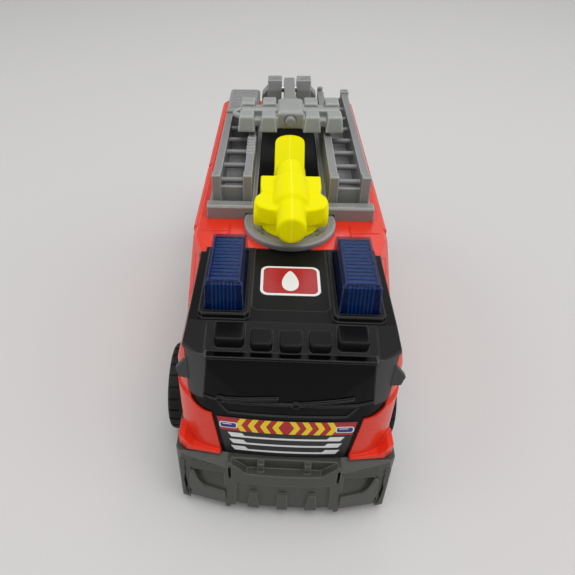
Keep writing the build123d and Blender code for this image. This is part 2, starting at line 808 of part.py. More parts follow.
def make_tyre():
    """Tyre with a rounded shoulder and tread blocks, at the origin, outer side +X."""
    inner, face = track_half - tyre_width, track_half
    tyre = rod_x(0, 0, wheel_radius, inner, face)
    tyre = fillet(tyre.edges().filter_by(GeomType.CIRCLE), 1.6)
    tyre -= rod_x(0, 0, rim_radius + press_gap, 0, 60)
    tyre -= rod_x(0, 0, rim_radius + 0.8 + press_gap, face - 0.6, 60)
    groove = rod_x(0, 0, 30, face - 7.6, face - 6.4) - rod_x(0, 0, wheel_radius - 0.7, 0, 60)
    tyre -= groove
    for i in range(24):
        notch = block(face - 4.6, 60, -0.55, 0.55, wheel_radius - 0.8, 30)
        tyre -= Rot(15 * i, 0, 0) * notch
        tyre -= Rot(15 * i + 7.5, 0, 0) * block(0, inner + 4.6, -0.55, 0.55, wheel_radius - 0.8, 30)
    return tyre


# ------------------------------------------------------------------ light bars
def lens_form(inset=0.0):
    """Light bar lens on the +X side: leaning ends and sides, chamfered rear corners."""
    front, rear = lens_front + inset, lens_rear - inset
    inner, outer = lens_inner + inset, lens_outer - inset
    foot, top = 78, lens_top - inset
    side = [(front, foot), (front + lens_front_lean, top), (rear - lens_rear_lean, top), (rear, foot)]
    lean = lens_side_lean
    ends = [(inner, foot), (inner + lean, top), (outer - lean, top), (outer, foot)]
    form = prism_x(side, 0, 60) & prism_y(ends, -FAR, FAR)
    return chamfer(form.faces().sort_by(Axis.Z)[-1].edges(), 1.0)


def make_lens():
    return (lens_form() - lens_form(lens_wall)) - OUTER


def make_led(y):
    """Lamp dome standing on the cab roof inside a lens."""
    x = (lens_inner + lens_outer) / 2
    dome = rod_z(x, y, led_radius, 76, 85) + Pos(x, y, 85) * Sphere(led_radius)
    return (dome + rod_z(x, y, led_radius + 0.6, 76, 82.2)) - OUTER


# ------------------------------------------------------------------ ladder deck
def rail(inner, front, rear, top):
    return block(inner, inner + rail_width, front, rear, roof_z, top)


def rail_pockets():
    """Shallow panels in the outer face of the outer rail."""
    pockets = None
    for i in range(rung_count):
        y = rung_first + (i - 0.5) * rung_pitch
        pocket = block(rail_outer - 0.6, 60, y + 1.6, y + rung_pitch - 1.6, deck_top + 2.2, rail_top - 2.0)
        pockets = pocket if pockets is None else pockets + pocket
    return pockets


def front_bar():
    bar = block(bar_inner, deck_half - 0.2, deck_front, deck_front + bar_depth, roof_z, bar_top)
    return chamfer(bar.edges().filter_by(Axis.X).group_by(Axis.Z)[-1], 0.6)


def make_deck(outer_rear):
    """Ladder deck on the +X side; its outer rail ends at outer_rear."""
    part = block(channel_half, deck_half, deck_front, ladder_rear, roof_z, deck_top)
    part += front_bar()
    outer = rail_outer - rail_width
    part += rail(rail_inner, post_front, ladder_rear, rail_top)
    part += rail(outer, post_front, outer_rear, rail_top)
    for x in (rail_inner, outer):
        post = block(x - 0.1, x + rail_width + 0.2, post_front, post_front + post_depth, roof_z, post_top)
        part += chamfer(post.faces().sort_by(Axis.Z)[-1].edges(), 0.3)
    part += block(rail_inner, rail_outer - 0.5, post_front + 1.8, post_front + 3, roof_z, bar_top + 3.9)
    for i in range(rung_count):
        y = rung_first + i * rung_pitch
        if y < outer_rear:
            part += rod_x(y, rail_top - rung_drop, rung_radius, rail_inner + 1, outer + 1)
    part -= rail_pockets()
    part -= rod_z(0, pivot_y, ring_radius + free_gap, roof_z, ring_top + 0.45)
    return part


def rail_end_posts():
    """Capped post on the end of the outer rail and a small post beside the inner one."""
    inner, outer = rail_outer - rail_width - 0.3, rail_outer + 0.4
    cap = block(inner, outer, ladder_rear - 4, ladder_rear, roof_z, rail_top + 1.4)
    stub = rod_z(rail_inner + 1.2, ladder_rear + 0.6, 1.3, roof_z, rail_top + 2)
    panel = block(rail_inner + 1, rail_outer - 1, ladder_rear - 1.2, ladder_rear, roof_z, rail_top - 3)
    return chamfer(cap.edges().group_by(Axis.Z)[-1], 0.4) + stub + panel


def rail_binding():
    """Ribbed binding round the inner rail."""
    low, high = rail_inner - 0.3, rail_inner + rail_width + 0.3
    band = None
    for i in range(6):
        y = -1 + i * 2.9
        rib = block(low, high, y, y + 1.5, rail_top - 3, rail_top + 0.35)
        band = rib if band is None else band + rib
    return band


def make_locker():
    """Equipment box with a ribbed lid, on the +X side before mirroring."""
    box = block(14.6, 28.8, locker_front, 70, deck_top, locker_top)
    box -= block(14.0, rail_inner + rail_width, 0, FAR, 0, rail_top + 0.01)
    box = chamfer(box.faces().sort_by(Axis.Z)[-1].edges(), 0.9)
    for i in range(5):
        y = locker_front + 3.4 + i * 4.7
        box -= block(16.5, 27, y, y + 1.2, locker_top - 0.6, FAR)
    return box


def make_channel_plate():
    """Dark plate along the middle of the deck, with the button's opening."""
    plate = block(-channel_half + seam, channel_half - seam, -14.8, 78, roof_z, channel_top)
    return plate - extrude(Pos(0, 0, 60) * button_plan(free_gap), amount=40)


# ------------------------------------------------------------------ turntable and cannon
def make_turntable():
    """Ring with a rim and a sunk dish, turning on a spigot in the roof."""
    ring = rod_z(0, pivot_y, ring_radius, roof_z, ring_top)
    ring -= rod_z(0, pivot_y, ring_radius - ring_rim, dish_top, FAR)
    ring = fillet(ring.edges().group_by(Axis.Z)[-1], 0.7)
    ring += rod_z(0, pivot_y, spigot_radius, roof_under - 1.0, roof_z)
    for x in (-dimple_x, dimple_x):
        ring -= rod_z(x, dimple_y, 1.1, dish_top - 0.6, FAR)
    return ring - rod_z(0, pivot_y, screw_radius, 70, dish_top - 0.8)


def make_retainer():
    """Washer under the roof that keeps the turntable in."""
    top = roof_under - 1.0
    washer = rod_z(0, pivot_y, spigot_radius + 2.6, top - 1.4, top)
    return washer - rod_z(0, pivot_y, screw_radius + 0.2, 60, 90)


def make_screw(x, y, head_z, length):
    """Screw driven upwards, head at the bottom."""
    head = rod_z(x, y, screw_head_radius, head_z, head_z + screw_head)
    head -= block(x - 1.4, x + 1.4, y - 0.25, y + 0.25, 0, head_z + 0.5)
    head -= block(x - 0.25, x + 0.25, y - 1.4, y + 1.4, 0, head_z + 0.5)
    return head + rod_z(x, y, screw_radius - press_gap, head_z + screw_head, head_z + length)


def ear(grow=0.0):
    """Upright ear on the +X side of the pedestal, grown on all sides for its slot."""
    inner, outer = ear_inner - grow, ear_inner + ear_width + grow
    radius = ear_radius + grow
    foot = block(inner, outer, trunnion_y - radius, trunnion_y + radius, dish_top, trunnion_z)
    return foot + rod_x(trunnion_y, trunnion_z, radius, inner, outer)


def make_cannon_base():
    """Pedestal with two ears that carry the barrel."""
    part = rod_z(0, pivot_y, pedestal_radius, dish_top, pedestal_top)
    part += both_sides(ear())
    part -= rod_z(0, pivot_y, 3.0, 0, dish_top + 0.6)
    return part - rod_x(trunnion_y, trunnion_z, pin_radius + press_gap, -20, 20)


def cannon_barrel():
    """Muzzle, thick middle and domed tail."""
    dome_y = tail_y - tail_radius
    profile = [
        (0, muzzle_y), (barrel_radius - 0.8, muzzle_y),
        (barrel_radius, muzzle_y + 1.2), (barrel_radius, -42.6),
        (hub_radius, -40.2), (hub_radius, -20), (tail_radius, dome_y), (0, dome_y),
    ]
    barrel = revolve(make_face(Polyline(*profile, close=True)), axis=Axis.Y, revolution_arc=360)
    return Pos(0, 0, barrel_z) * barrel + Pos(0, dome_y, barrel_z) * Sphere(tail_radius)


def cannon_wings():
    """Flat body of the wings, which widens forward into the lobes."""
    half = [(4, -41), (11.4, -39.6), (lobe_outer - 0.6, -36), (lobe_outer - 1.2, -31)]
    half += [(wing_half, -27), (wing_half, wing_rear), (4, wing_rear + 1)]
    body = prism_z(half + [(-x, y) for x, y in reversed(half)], wing_top - wing_height, wing_top)
    body = fillet(body.edges().filter_by(Axis.Z), 0.9)
    return chamfer(body.faces().sort_by(Axis.Z)[-1].edges(), 0.7)


def lobe():
    """Round trunnion lobe on the +X side."""
    cheek = rod_x(trunnion_y, trunnion_z, lobe_radius, 4, lobe_outer)
    return fillet(cheek.faces().sort_by(Axis.X)[-1].edges(), 1.6)


def make_cannon():
    """Barrel with wings and lobes; slots in the lobes take the ears of the base."""
    part = cannon_barrel() + cannon_wings() + both_sides(lobe())
    part -= both_sides(ear(free_gap + 0.25))
    return part - rod_x(trunnion_y, trunnion_z, pin_radius + run_gap, -20, 20)


def make_cannon_pin():
    reach = lobe_outer - 0.3
    return rod_x(trunnion_y, trunnion_z, pin_radius, -reach, reach)


# ------------------------------------------------------------------ sound button
def make_button():
    """Ramp-shaped push button with a round rear end, a flange and a stem."""
    ramp = [(button_front, 70), (button_front, button_foot_z), (12.2, button_top), (20, button_top), (20, 70)]
    part = extrude(Pos(0, 0, roof_under - 0.2) * button_plan(), amount=30) & prism_x(ramp, -20, 20)
    part = fillet(part.edges().group_by(Axis.Z)[-1], 1.4)
    part += extrude(Pos(0, 0, roof_under - button_flange) * button_plan(1.5), amount=button_flange)
    foot = board_top + cap_height + button_travel + 0.2
    return part + rod_z(0, button_middle_y, 2.6, foot, roof_under - button_flange + 0.5)


def make_button_sleeve():
    """Rubber sleeve between circuit board and button flange that returns the button."""
    low, high = board_top, roof_under - button_flange
    sleeve = rod_z(0, button_middle_y, 4.6, low, high)
    return sleeve - rod_z(0, button_middle_y, 3.8, low - 1, high + 1)


# ------------------------------------------------------------------ light mast
def make_mast_base():
    """Clevis towers for the mast, with a foot plate and side webs."""
    part = block(-12.2, 12.2, 58.5, 77.5, channel_top, channel_top + 2.0)
    tower = [
        (61.5, channel_top), (63.6, 98.5), (65.2, clevis_top),
        (72.4, clevis_top), (74.0, 101), (76.5, channel_top),
    ]
    part += both_sides(prism_x(tower, clevis_inner, clevis_outer))
    root = clevis_outer - 1
    shoulder = [(root, 98.6), (clevis_outer, 98.4), (13.2, 95.3), (13.2, 86), (12.2, 84.6)]
    shoulder += [(12.2, channel_top), (root, channel_top)]
    part += both_sides(prism_y(shoulder, 66.2, 73.4))
    middle = (clevis_inner + clevis_outer) / 2
    part -= both_sides(rod_z(middle, mast_y, 2.3, clevis_top - 0.5, FAR))
    return part - rod_x(mast_y, mast_z, mast_pin_radius + press_gap, -clevis_outer + 1, clevis_outer - 1)


def make_mast_arm():
    """Arm from the clevis to the lamp head, ending in a round tongue."""
    part = rod_x(mast_y, mast_z, mast_eye, -arm_half, arm_half)
    part += block(-arm_half, arm_half, arm_shoulder_y, mast_y, mast_z, mast_z + mast_eye)
    flare = [(arm_shoulder_half, arm_shoulder_y), (arm_half, arm_shoulder_y + 8)]
    flare += [(-x, y) for x, y in reversed(flare)]
    part += prism_z(flare, mast_z, mast_z + mast_eye)
    tip = rod_y(0, tongue_z, tongue_radius, tongue_tip_y, arm_shoulder_y + 1)
    part += chamfer(tip.edges().group_by(Axis.Y)[0], 0.4)
    return part - rod_x(mast_y, mast_z, mast_pin_radius + run_gap, -20, 20)


def lamp_block(x, y):
    """One tapered floodlight."""
    base = Pos(x, y, head_bottom) * Rectangle(2 * lamp_half_width, 2 * lamp_half_length)
    lamp = extrude(base, amount=lamp_top - head_bottom, taper=7)
    return chamfer(lamp.faces().sort_by(Axis.Z)[-1].edges(), 0.4)


def make_mast_head():
    """Spreader bar with eight floodlights round a central block."""
    half = lamp_centres_x[1] + 2.5
    part = block(-half, half, spreader_front, spreader_rear, head_bottom + 1.0, spreader_top)
    front, rear = lamp_centres_y
    part += block(-half, half, front - 1, rear + 1, head_bottom + 1.0, head_bottom + 2.4)
    for y in lamp_centres_y:
        for x in lamp_centres_x:
            part += lamp_block(x, y) + lamp_block(-x, y)
        part += rod_x(y, (head_bottom + lamp_top) / 2, 1.0, -half, half)
    rear = arm_shoulder_y - 0.3
    middle = block(-centre_half, centre_half, centre_front, rear, head_bottom + 0.4, centre_top)
    middle = chamfer(middle.faces().sort_by(Axis.Z)[-1].edges(), 1.0)
    part += middle + block(-centre_half, centre_half, 30, arm_shoulder_y, head_bottom + 0.4, tongue_z + 3)
    hook = prism_z([(-half, 24), (-half - 4, 28), (-half - 4, 31), (-half, 35.5)], 99.0, 101.0)
    hook -= prism_z([(-half, 27.0), (-half - 2.4, 29), (-half - 2.4, 30.4), (-half, 33.2)], 90, 110)
    part += hook
    flank = arm_shoulder_half + seam
    part -= block(-flank, flank, arm_shoulder_y, FAR, 0, FAR)
    return part - rod_y(0, tongue_z, tongue_radius + press_gap, 0, 60)


def make_mast_pin():
    return rod_x(mast_y, mast_z, mast_pin_radius, -clevis_outer + 1, clevis_outer - 1)


# ------------------------------------------------------------------ electrics
def make_circuit_board():
    """Board hung from the roof pegs, with the switch under the button and a chip."""
    part = block(-board_half, board_half, board_front, board_rear, board_z, board_top)
    part += rod_z(0, button_middle_y, 2.6, board_top, board_top + cap_height)
    part += block(-6, 6, 20, 27, board_z - 1.4, board_z)
    return part + rod_z(10, 22, 2.5, board_z - 6, board_z)


def make_speaker():
    cone = rod_z(0, speaker_y, speaker_radius, floor_top, floor_top + 1.6)
    cone += rod_z(0, speaker_y, speaker_radius - 3, floor_top, floor_top + speaker_height)
    return cone - rod_z(0, speaker_y, speaker_radius - 5, 0, floor_top + 1.0)


def make_battery(x):
    cell = rod_y(x, battery_z, battery_radius, battery_front, battery_rear - 1.2)
    return cell + rod_y(x, battery_z, 1.8, battery_front, battery_rear)


def make_contact(y0, y1, nub0, nub1):
    """Spring plate across both cells, with a nub for each."""
    half = box_half - 0.4
    plate = block(-half, half, y0, y1, battery_z - 4, battery_z + 4)
    for x in (-battery_x, battery_x):
        plate += rod_y(x, battery_z, 2.0, nub0, nub1)
    return plate


def make_switch():
    """Slide switch in the floor slot, held by a flange above the floor."""
    knob = block(-1.8, 1.8, switch_y, switch_y + 3.0, floor_z - 1.2, floor_top)
    return knob + block(-4.2, 4.2, switch_y - 2.4, switch_y + 5.4, floor_top, floor_top + 1.6)


def make_tail_lamp():
    lamp = block(23.5, 31.5, truck_rear - 1.2, truck_rear, 13, 20)
    return chamfer(lamp.faces().sort_by(Axis.Y)[-1].edges(), 0.4)


# ------------------------------------------------------------------ stickers
def make_grille_sticker():
    """Thin sticker on the grille panel."""
    outline = [(19.6, 31.2), (22.2, 49.8), (-22.2, 49.8), (-19.6, 31.2)]
    return front_skin(prism_y(outline, -FAR, -80), 0.0, 0.2)


def make_roof_sticker():
    """Thin badge on the sunk roof panel."""
    badge = block(-9.5, 9.5, -71.5, -57.0, 70, 90)
    badge = fillet(badge.edges().filter_by(Axis.Z), 2.5)
    return roof_skin(badge, 0.4, -0.2)


# ------------------------------------------------------------------ assembly
def save_pair(name, shape):
    """Left and right copies of a +X piece; the driver's left is +X."""
    save(f"{name}_left", shape)
    save(f"{name}_right", mirrored(shape))


def save_wheels():
    """Both axles at opposite ends of their sideways play, each with two wheels."""
    tyre = make_tyre()
    rim = make_rim()
    for end, y, shift in (("front", front_axle_y, -axle_play), ("rear", rear_axle_y, axle_play)):
        save(f"{end}_axle", make_axle(y, shift))
        for side, turn in (("left", 0), ("right", 180)):
            place = Pos(shift, y, axle_z) * Rot(0, 0, turn)
            save(f"tyre_{end}_{side}", place * tyre)
            save(f"rim_{end}_{side}", place * rim)


def main():
    save("chassis", make_chassis())
    save("body_shell", make_body_shell())
    save("cab_front", make_cab_front())
    save_pair("window", make_window())
    save_pair("mirror", make_mirror())
    save_pair("lens", make_lens())
    save_pair("led", make_led(-66))
    save("deck_left", make_deck(ladder_rear) + rail_end_posts())
    save("deck_right", mirrored(make_deck(locker_front) + rail_binding()))
    save("locker", mirrored(make_locker()))
    save("channel_plate", make_channel_plate())
    save("mast_base", make_mast_base())
    save("mast_pin", make_mast_pin())
    save("mast_arm", make_mast_arm())
    save("mast_head", make_mast_head())
    save("turntable", make_turntable())
    save("turntable_retainer", make_retainer())
    save("turntable_screw", make_screw(0, pivot_y, roof_under - 2.4 - screw_head, 4.6))
    save("cannon_base", make_cannon_base())
    save("cannon_pin", make_cannon_pin())
    save("cannon", make_cannon())
    save("button", make_button())
    save("button_sleeve", make_button_sleeve())
    save("circuit_board", make_circuit_board())
    save("speaker", make_speaker())
    save("battery_door", make_door())
    save("battery_left", make_battery(battery_x))
    save("battery_right", make_battery(-battery_x))
    save("contact_front", make_contact(box_front, box_front + 0.8, box_front, battery_front))
    save("contact_rear", make_contact(box_rear - 0.8, box_rear, battery_rear, box_rear))
    save("power_switch", make_switch())
    for i, (x, y) in enumerate(screw_posts):
        save(f"body_screw_{i + 1}", make_screw(x, y, floor_z, 11))
    save_pair("tail_lamp", make_tail_lamp())
    save_wheels()
    save("grille_sticker", make_grille_sticker())
    save("roof_sticker", make_roof_sticker())


main()
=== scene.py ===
# %% [markdown]
# # Toy fire engine: the looks
#
# The construction arrives as a finished frame: every moulded piece sits in its real place. This
# lesson gives each piece its finish, then adds what is easier to make in Blender: the printed
# stickers, the ridged light guides under the blue lenses, the flowing skins of the cannon and the
# mast, the relief on the bumper, and the studio around the toy.

# %% Load the frame
import json
import math

import bmesh
import bpy
from mathutils import Matrix, Vector


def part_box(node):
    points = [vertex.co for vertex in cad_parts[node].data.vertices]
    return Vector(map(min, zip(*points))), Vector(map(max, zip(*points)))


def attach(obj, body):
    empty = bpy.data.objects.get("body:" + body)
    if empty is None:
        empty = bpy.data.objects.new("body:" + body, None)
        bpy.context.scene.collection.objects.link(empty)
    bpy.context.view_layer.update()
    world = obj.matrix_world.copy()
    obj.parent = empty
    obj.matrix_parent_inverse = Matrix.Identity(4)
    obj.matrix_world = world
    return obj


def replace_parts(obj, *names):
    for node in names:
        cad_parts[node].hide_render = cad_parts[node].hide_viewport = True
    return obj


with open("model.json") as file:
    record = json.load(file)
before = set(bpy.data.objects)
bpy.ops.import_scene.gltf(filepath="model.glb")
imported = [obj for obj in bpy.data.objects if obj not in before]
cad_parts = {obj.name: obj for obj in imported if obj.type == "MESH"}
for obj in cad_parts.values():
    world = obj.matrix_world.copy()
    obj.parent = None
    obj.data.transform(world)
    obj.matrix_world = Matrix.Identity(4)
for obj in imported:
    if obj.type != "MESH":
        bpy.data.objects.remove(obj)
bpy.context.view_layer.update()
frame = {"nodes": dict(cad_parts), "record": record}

# %% [markdown]
# ## Millimetres
#
# Blender works in metres, and a toy is easier to think about in millimetres. One small constant
# keeps every size below readable: 3 * MM is three millimetres.

# %% The unit
MM = 0.001
print("one millimetre is", MM, "metres")

# %% [markdown]
# ## Small steps in a node tree
#
# A material is a tree of nodes, and most of its steps are alike: take a number or another node's
# output, work on it, and pass it on. In the editor each step is a box and a few wires. Here each
# kind of step is a short function that returns its output, so that a recipe reads like a formula.

# %% Helpers for node trees
def feed(tree, value, socket):
    """Gives a socket a number or a colour, or links it to another node's output."""
    if isinstance(value, bpy.types.NodeSocket):
        tree.links.new(value, socket)
    else:
        socket.default_value = value


def source_of(socket):
    """The output that a socket is linked to."""
    return socket.links[0].from_socket


def math_node(tree, operation, *values):
    """Calculates with numbers and outputs."""
    node = tree.nodes.new("ShaderNodeMath")
    node.operation = operation
    for place, value in enumerate(values):
        feed(tree, value, node.inputs[place])
    return node.outputs[0]


def range_node(tree, value, source=(0.0, 1.0), target=(0.0, 1.0)):
    """Maps the range source to the range target, and holds the ends."""
    node = tree.nodes.new("ShaderNodeMapRange")
    names = ("Value", "From Min", "From Max", "To Min", "To Max")
    for name, number in zip(names, (value, *source, *target)):
        feed(tree, number, node.inputs[name])
    return node.outputs["Result"]


def mix_node(tree, share, first, second, kind="RGBA"):
    """Goes from the first value to the second as share goes from 0 to 1."""
    node = tree.nodes.new("ShaderNodeMix")
    node.data_type = kind
    for name, value in (("Factor", share), ("A", first), ("B", second)):
        feed(tree, value, node.inputs[name])
    return node.outputs["Result"]


def axes(tree, kind="Object"):
    """The coordinates of each point, as outputs named X, Y and Z."""
    coordinates = tree.nodes.new("ShaderNodeTexCoord")
    parts = tree.nodes.new("ShaderNodeSeparateXYZ")
    feed(tree, coordinates.outputs[kind], parts.inputs["Vector"])
    return parts.outputs


def noise(tree, scale, detail=2.0):
    """Noise on object coordinates, from 0 to 1; the scale is in features per metre."""
    coordinates = tree.nodes.new("ShaderNodeTexCoord")
    texture = tree.nodes.new("ShaderNodeTexNoise")
    texture.inputs["Scale"].default_value = scale
    texture.inputs["Detail"].default_value = detail
    feed(tree, coordinates.outputs["Object"], texture.inputs["Vector"])
    return texture.outputs["Fac"]


print("node helpers: feed, source_of, math_node, range_node, mix_node, axes, noise")

# %% [markdown]
# ## How moulded plastic looks
#
# Injection-moulded plastic is never one flat colour. The tool leaves a very fine grain, the gloss
# drifts a little over the surface, and every edge carries a small radius that catches a thin line
# of light. A moulded edge could be bevelled in the mesh, but the frame's meshes stay as they are,
# so the shader rounds the edge instead: the Bevel node blends the normals across it. The colour is
# also lightened along each edge: a painted highlight for that line of light, partly worn plastic.
# Noise on object coordinates then varies colour, gloss and grain.

# %% A recipe for moulded plastic
drift_scale, gloss_drift, colour_drift = 55, 0.05, 0.06
grain_depth, grain_detail = 0.05 * MM, 4
rounding_samples = 4
same_normal, turned_normal = 1.0, 0.85


def edge_mask(tree, rounded_normal):
    """One on sharp edges and zero on flat faces: how far the rounded normal turns away."""
    surface = tree.nodes.new("ShaderNodeNewGeometry")
    alike = tree.nodes.new("ShaderNodeVectorMath")
    alike.operation = "DOT_PRODUCT"
    feed(tree, rounded_normal, alike.inputs[0])
    feed(tree, surface.outputs["Normal"], alike.inputs[1])
    return range_node(tree, alike.outputs["Value"], source=(same_normal, turned_normal))


def moulded(name, colour, roughness=0.35, grain=0.12, grain_scale=2600, edge=0.3, edge_wear_and_highlight=0.0,
            gloss=0.5):
    """Plastic with a fine grain, a drifting gloss and soft edges; the edges are lightened as a
    painted highlight, partly worn plastic.
    """
    material = bpy.data.materials.new(name)
    material.use_nodes = True
    tree = material.node_tree
    shader = tree.nodes["Principled BSDF"]
    shader.inputs["Specular IOR Level"].default_value = gloss
    drift = noise(tree, drift_scale)
    satin = range_node(tree, drift, target=(roughness - gloss_drift, roughness + gloss_drift))
    feed(tree, satin, shader.inputs["Roughness"])
    soft_edge = tree.nodes.new("ShaderNodeBevel")
    soft_edge.samples = rounding_samples
    soft_edge.inputs["Radius"].default_value = edge * MM
    darker = [c * (1 - colour_drift) for c in colour]
    lighter = [min(1, c * (1 + colour_drift)) for c in colour]
    base = mix_node(tree, drift, (*darker, 1), (*lighter, 1))
    # Lighter edges: a painted highlight along every edge, partly worn plastic.
    if edge_wear_and_highlight:
        edge_highlight_colour = [min(1, c * (1 + edge_wear_and_highlight) + 0.01 * edge_wear_and_highlight) for c in colour]
        base = mix_node(tree, edge_mask(tree, soft_edge.outputs["Normal"]), base, (*edge_highlight_colour, 1))
    feed(tree, base, shader.inputs["Base Color"])
    bump = tree.nodes.new("ShaderNodeBump")
    bump.inputs["Strength"].default_value = grain
    bump.inputs["Distance"].default_value = grain_depth
    feed(tree, noise(tree, grain_scale, grain_detail), bump.inputs["Height"])
    feed(tree, soft_edge.outputs["Normal"], bump.inputs["Normal"])
    feed(tree, bump.outputs["Normal"], shader.inputs["Normal"])
    return material


print("edges are rounded with", rounding_samples, "samples")

# %% [markdown]
# ## The plastics of the truck
#
# The red body is glossy, the black cab front, the grey deck and the yellow cannon are satin, and
# the chassis is a duller olive grey. Each could be a material of its own, built from nothing, but
# they are one process in several colours, so one recipe with a few numbers makes them all. The
# mast's lamp head and the ring of the turntable get greys of their own, a little paler than the
# deck's.

# %% Plastics
red = moulded("red_plastic", (0.71, 0.031, 0.011),
              roughness=0.27, grain=0.05, edge=0.5, edge_wear_and_highlight=0.35, gloss=0.38)
black = moulded("black_plastic", (0.0050, 0.0050, 0.0054),
                roughness=0.36, grain=0.16, edge=0.6, edge_wear_and_highlight=5.5, gloss=0.10)
glazing = moulded("window_black", (0.004, 0.004, 0.005), roughness=0.14, grain=0.03, gloss=0.4)
olive = moulded("olive_plastic", (0.046, 0.047, 0.040),
                roughness=0.40, grain=0.22, edge=0.7, edge_wear_and_highlight=1.8, gloss=0.42)
grey = moulded("grey_plastic", (0.205, 0.207, 0.206),
               roughness=0.36, grain=0.12, edge=0.7, edge_wear_and_highlight=1.5)
pale_grey = moulded("mast_plastic", (0.285, 0.295, 0.280),
                    roughness=0.36, grain=0.12, edge=0.9, edge_wear_and_highlight=1.6)
ring_grey = moulded("ring_plastic", (0.225, 0.227, 0.235),
                    roughness=0.26, grain=0.10, edge=0.9, edge_wear_and_highlight=1.6)
yellow = moulded("yellow_plastic", (0.68, 0.63, 0.001),
                 roughness=0.40, grain=0.05, edge=0.4, gloss=0.03)
print("materials, with the frame's own:", len(bpy.data.materials))

# %% [markdown]
# ## Pillars, windscreen and cowl
#
# The cab front is one black moulding, but its parts don't look alike: the pillars are matt and
# paler, and their paler colour is a painted sheen; the windscreen is the smoothest and darkest, and
# the cowl below it lies between. The piece could be cut into three, but the frame's mesh stays
# whole, so the material itself changes inside a zone. A zone is a test on the coordinates, and
# where it holds, gloss and tone are mixed in under the painted edge highlights.

# %% Zones of the black plastic
def zone(material, half, foot, top, depth, roughness, colour, lean=0.0):
    """Own gloss and tone where |x| + lean * z < half, foot < z < top and y < depth, in mm."""
    tree = material.node_tree
    shader = tree.nodes["Principled BSDF"]
    at = axes(tree)
    leaning = math_node(tree, "MULTIPLY_ADD", at["Z"], lean, math_node(tree, "ABSOLUTE", at["X"]))
    inside = math_node(tree, "LESS_THAN", leaning, half * MM)
    limits = (("Z", "GREATER_THAN", foot), ("Z", "LESS_THAN", top), ("Y", "LESS_THAN", depth))
    for axis, operation, limit in limits:
        held = math_node(tree, operation, at[axis], limit * MM)
        inside = math_node(tree, "MULTIPLY", inside, held)
    satin = shader.inputs["Roughness"]
    feed(tree, mix_node(tree, inside, source_of(satin), roughness, kind="FLOAT"), satin)
    under_edges = shader.inputs["Base Color"].links[0].from_node.inputs["A"]
    feed(tree, mix_node(tree, inside, source_of(under_edges), (*colour, 1)), under_edges)


pillars = {"half": 40.0, "foot": 57.0, "top": 76.5, "depth": -72.0}
windscreen = {"half": 31.8, "lean": 0.101, "foot": 57.0, "top": 76.5, "depth": -72.0}
cowl = {"half": 40.0, "foot": 30.0, "top": 57.0, "depth": -72.0}
# Pillars: their paler colour is a painted sheen, not the plastic's own tone.
zone(black, roughness=0.42, colour=(0.062, 0.061, 0.061), **pillars)
zone(black, roughness=0.22, colour=(0.0010, 0.0010, 0.0013), **windscreen)
zone(black, roughness=0.30, colour=(0.0020, 0.0020, 0.0022), **cowl)
print("nodes in the black plastic:", len(black.node_tree.nodes))

# %% [markdown]
# ## Fluorescent yellow
#
# Fluorescent plastic returns more light than it receives, so the yellow gets a breath of emission:
# a painted glow that brightens it under any light.
# Its two mould halves meet in the middle of the cannon in a fine ridge, whose crest catches a thin
# line of light. A groove in the mesh would be far too coarse for it, so the material paints that
# highlight as a pale line where x is zero.

# %% Painted glow and painted seam highlight
line_half, seam_highlight_share = 0.22, 0.4
seam_highlight_colour = (0.95, 0.95, 0.20)
yellow_shader = yellow.node_tree.nodes["Principled BSDF"]
# Emission: a painted glow standing in for the fluorescent brightness.
yellow_shader.inputs["Emission Color"].default_value = (0.8, 0.76, 0.0, 1)
yellow_shader.inputs["Emission Strength"].default_value = 0.19


def seam_highlight(material):
    """Paints a thin highlight along the moulding line where x is zero."""
    tree = material.node_tree
    base = tree.nodes["Principled BSDF"].inputs["Base Color"]
    away = math_node(tree, "ABSOLUTE", axes(tree)["X"])
    share = range_node(tree, away, source=(0.0, line_half * MM), target=(seam_highlight_share, 0.0))
    feed(tree, mix_node(tree, share, source_of(base), (*seam_highlight_colour, 1)), base)


seam_highlight(yellow)
print("parting line:", 2 * line_half, "mm wide")

# %% [markdown]
# ## Rubber, inner parts and printing inks
#
# The tyres are matt with a coarser grain, the rims and the parts inside are plain mouldings, and
# the printing inks are smooth with almost no edge. They could be flat colours, but they come from
# the same recipe, so that they answer the light as their neighbours do.

# %% Small finishes
tyre_black = moulded("tyre", (0.007, 0.007, 0.007),
                     roughness=0.6, grain=0.3, grain_scale=1800, edge_wear_and_highlight=1.5, gloss=0.3)
rim_grey = moulded("rim", (0.33, 0.33, 0.34), roughness=0.3, grain=0.06)
board = moulded("board_green", (0.02, 0.16, 0.05), roughness=0.3, grain=0.1)
sleeve = moulded("sleeve_rubber", (0.6, 0.6, 0.58), roughness=0.6, grain=0.2)
cell = moulded("battery_case", (0.08, 0.08, 0.09), roughness=0.3, grain=0.04)
lamp_white = moulded("led_white", (0.8, 0.8, 0.82), roughness=0.2, grain=0.02)
ink = {"grain": 0.02, "edge": 0.05}
white_print = moulded("badge_print", (0.82, 0.82, 0.80), roughness=0.3, **ink)
black_print = moulded("grille_print", (0.010, 0.010, 0.011), roughness=0.3, gloss=0.35, **ink)
red_print = moulded("red_print", (0.42, 0.012, 0.018), roughness=0.35, gloss=0.35, **ink)
yellow_print = moulded("yellow_print", (0.85, 0.62, 0.01), roughness=0.35, gloss=0.35, **ink)
blue_print = moulded("blue_print", (0.012, 0.03, 0.20), roughness=0.3, gloss=0.35, **ink)
print("materials, with the frame's own:", len(bpy.data.materials))

# %% [markdown]
# ## Metal and clear plastic
#
# Pins, screws and contacts are plain steel. The silver bars of the grille are a metallic ink, so
# they are only partly metal. The blue lenses are clear plastic over a ridged blue guide, coloured
# as a dark core with bright ribs: painted shade and painted light on one piece. True refraction
# would be slow and noisy in so thin a shell, so the lens is partly see-through instead: about half
# of what is seen is its own dark blue surface, and the rest looks through to the guide. Its edges
# are pale, because they gather the light; that paleness is a painted highlight.

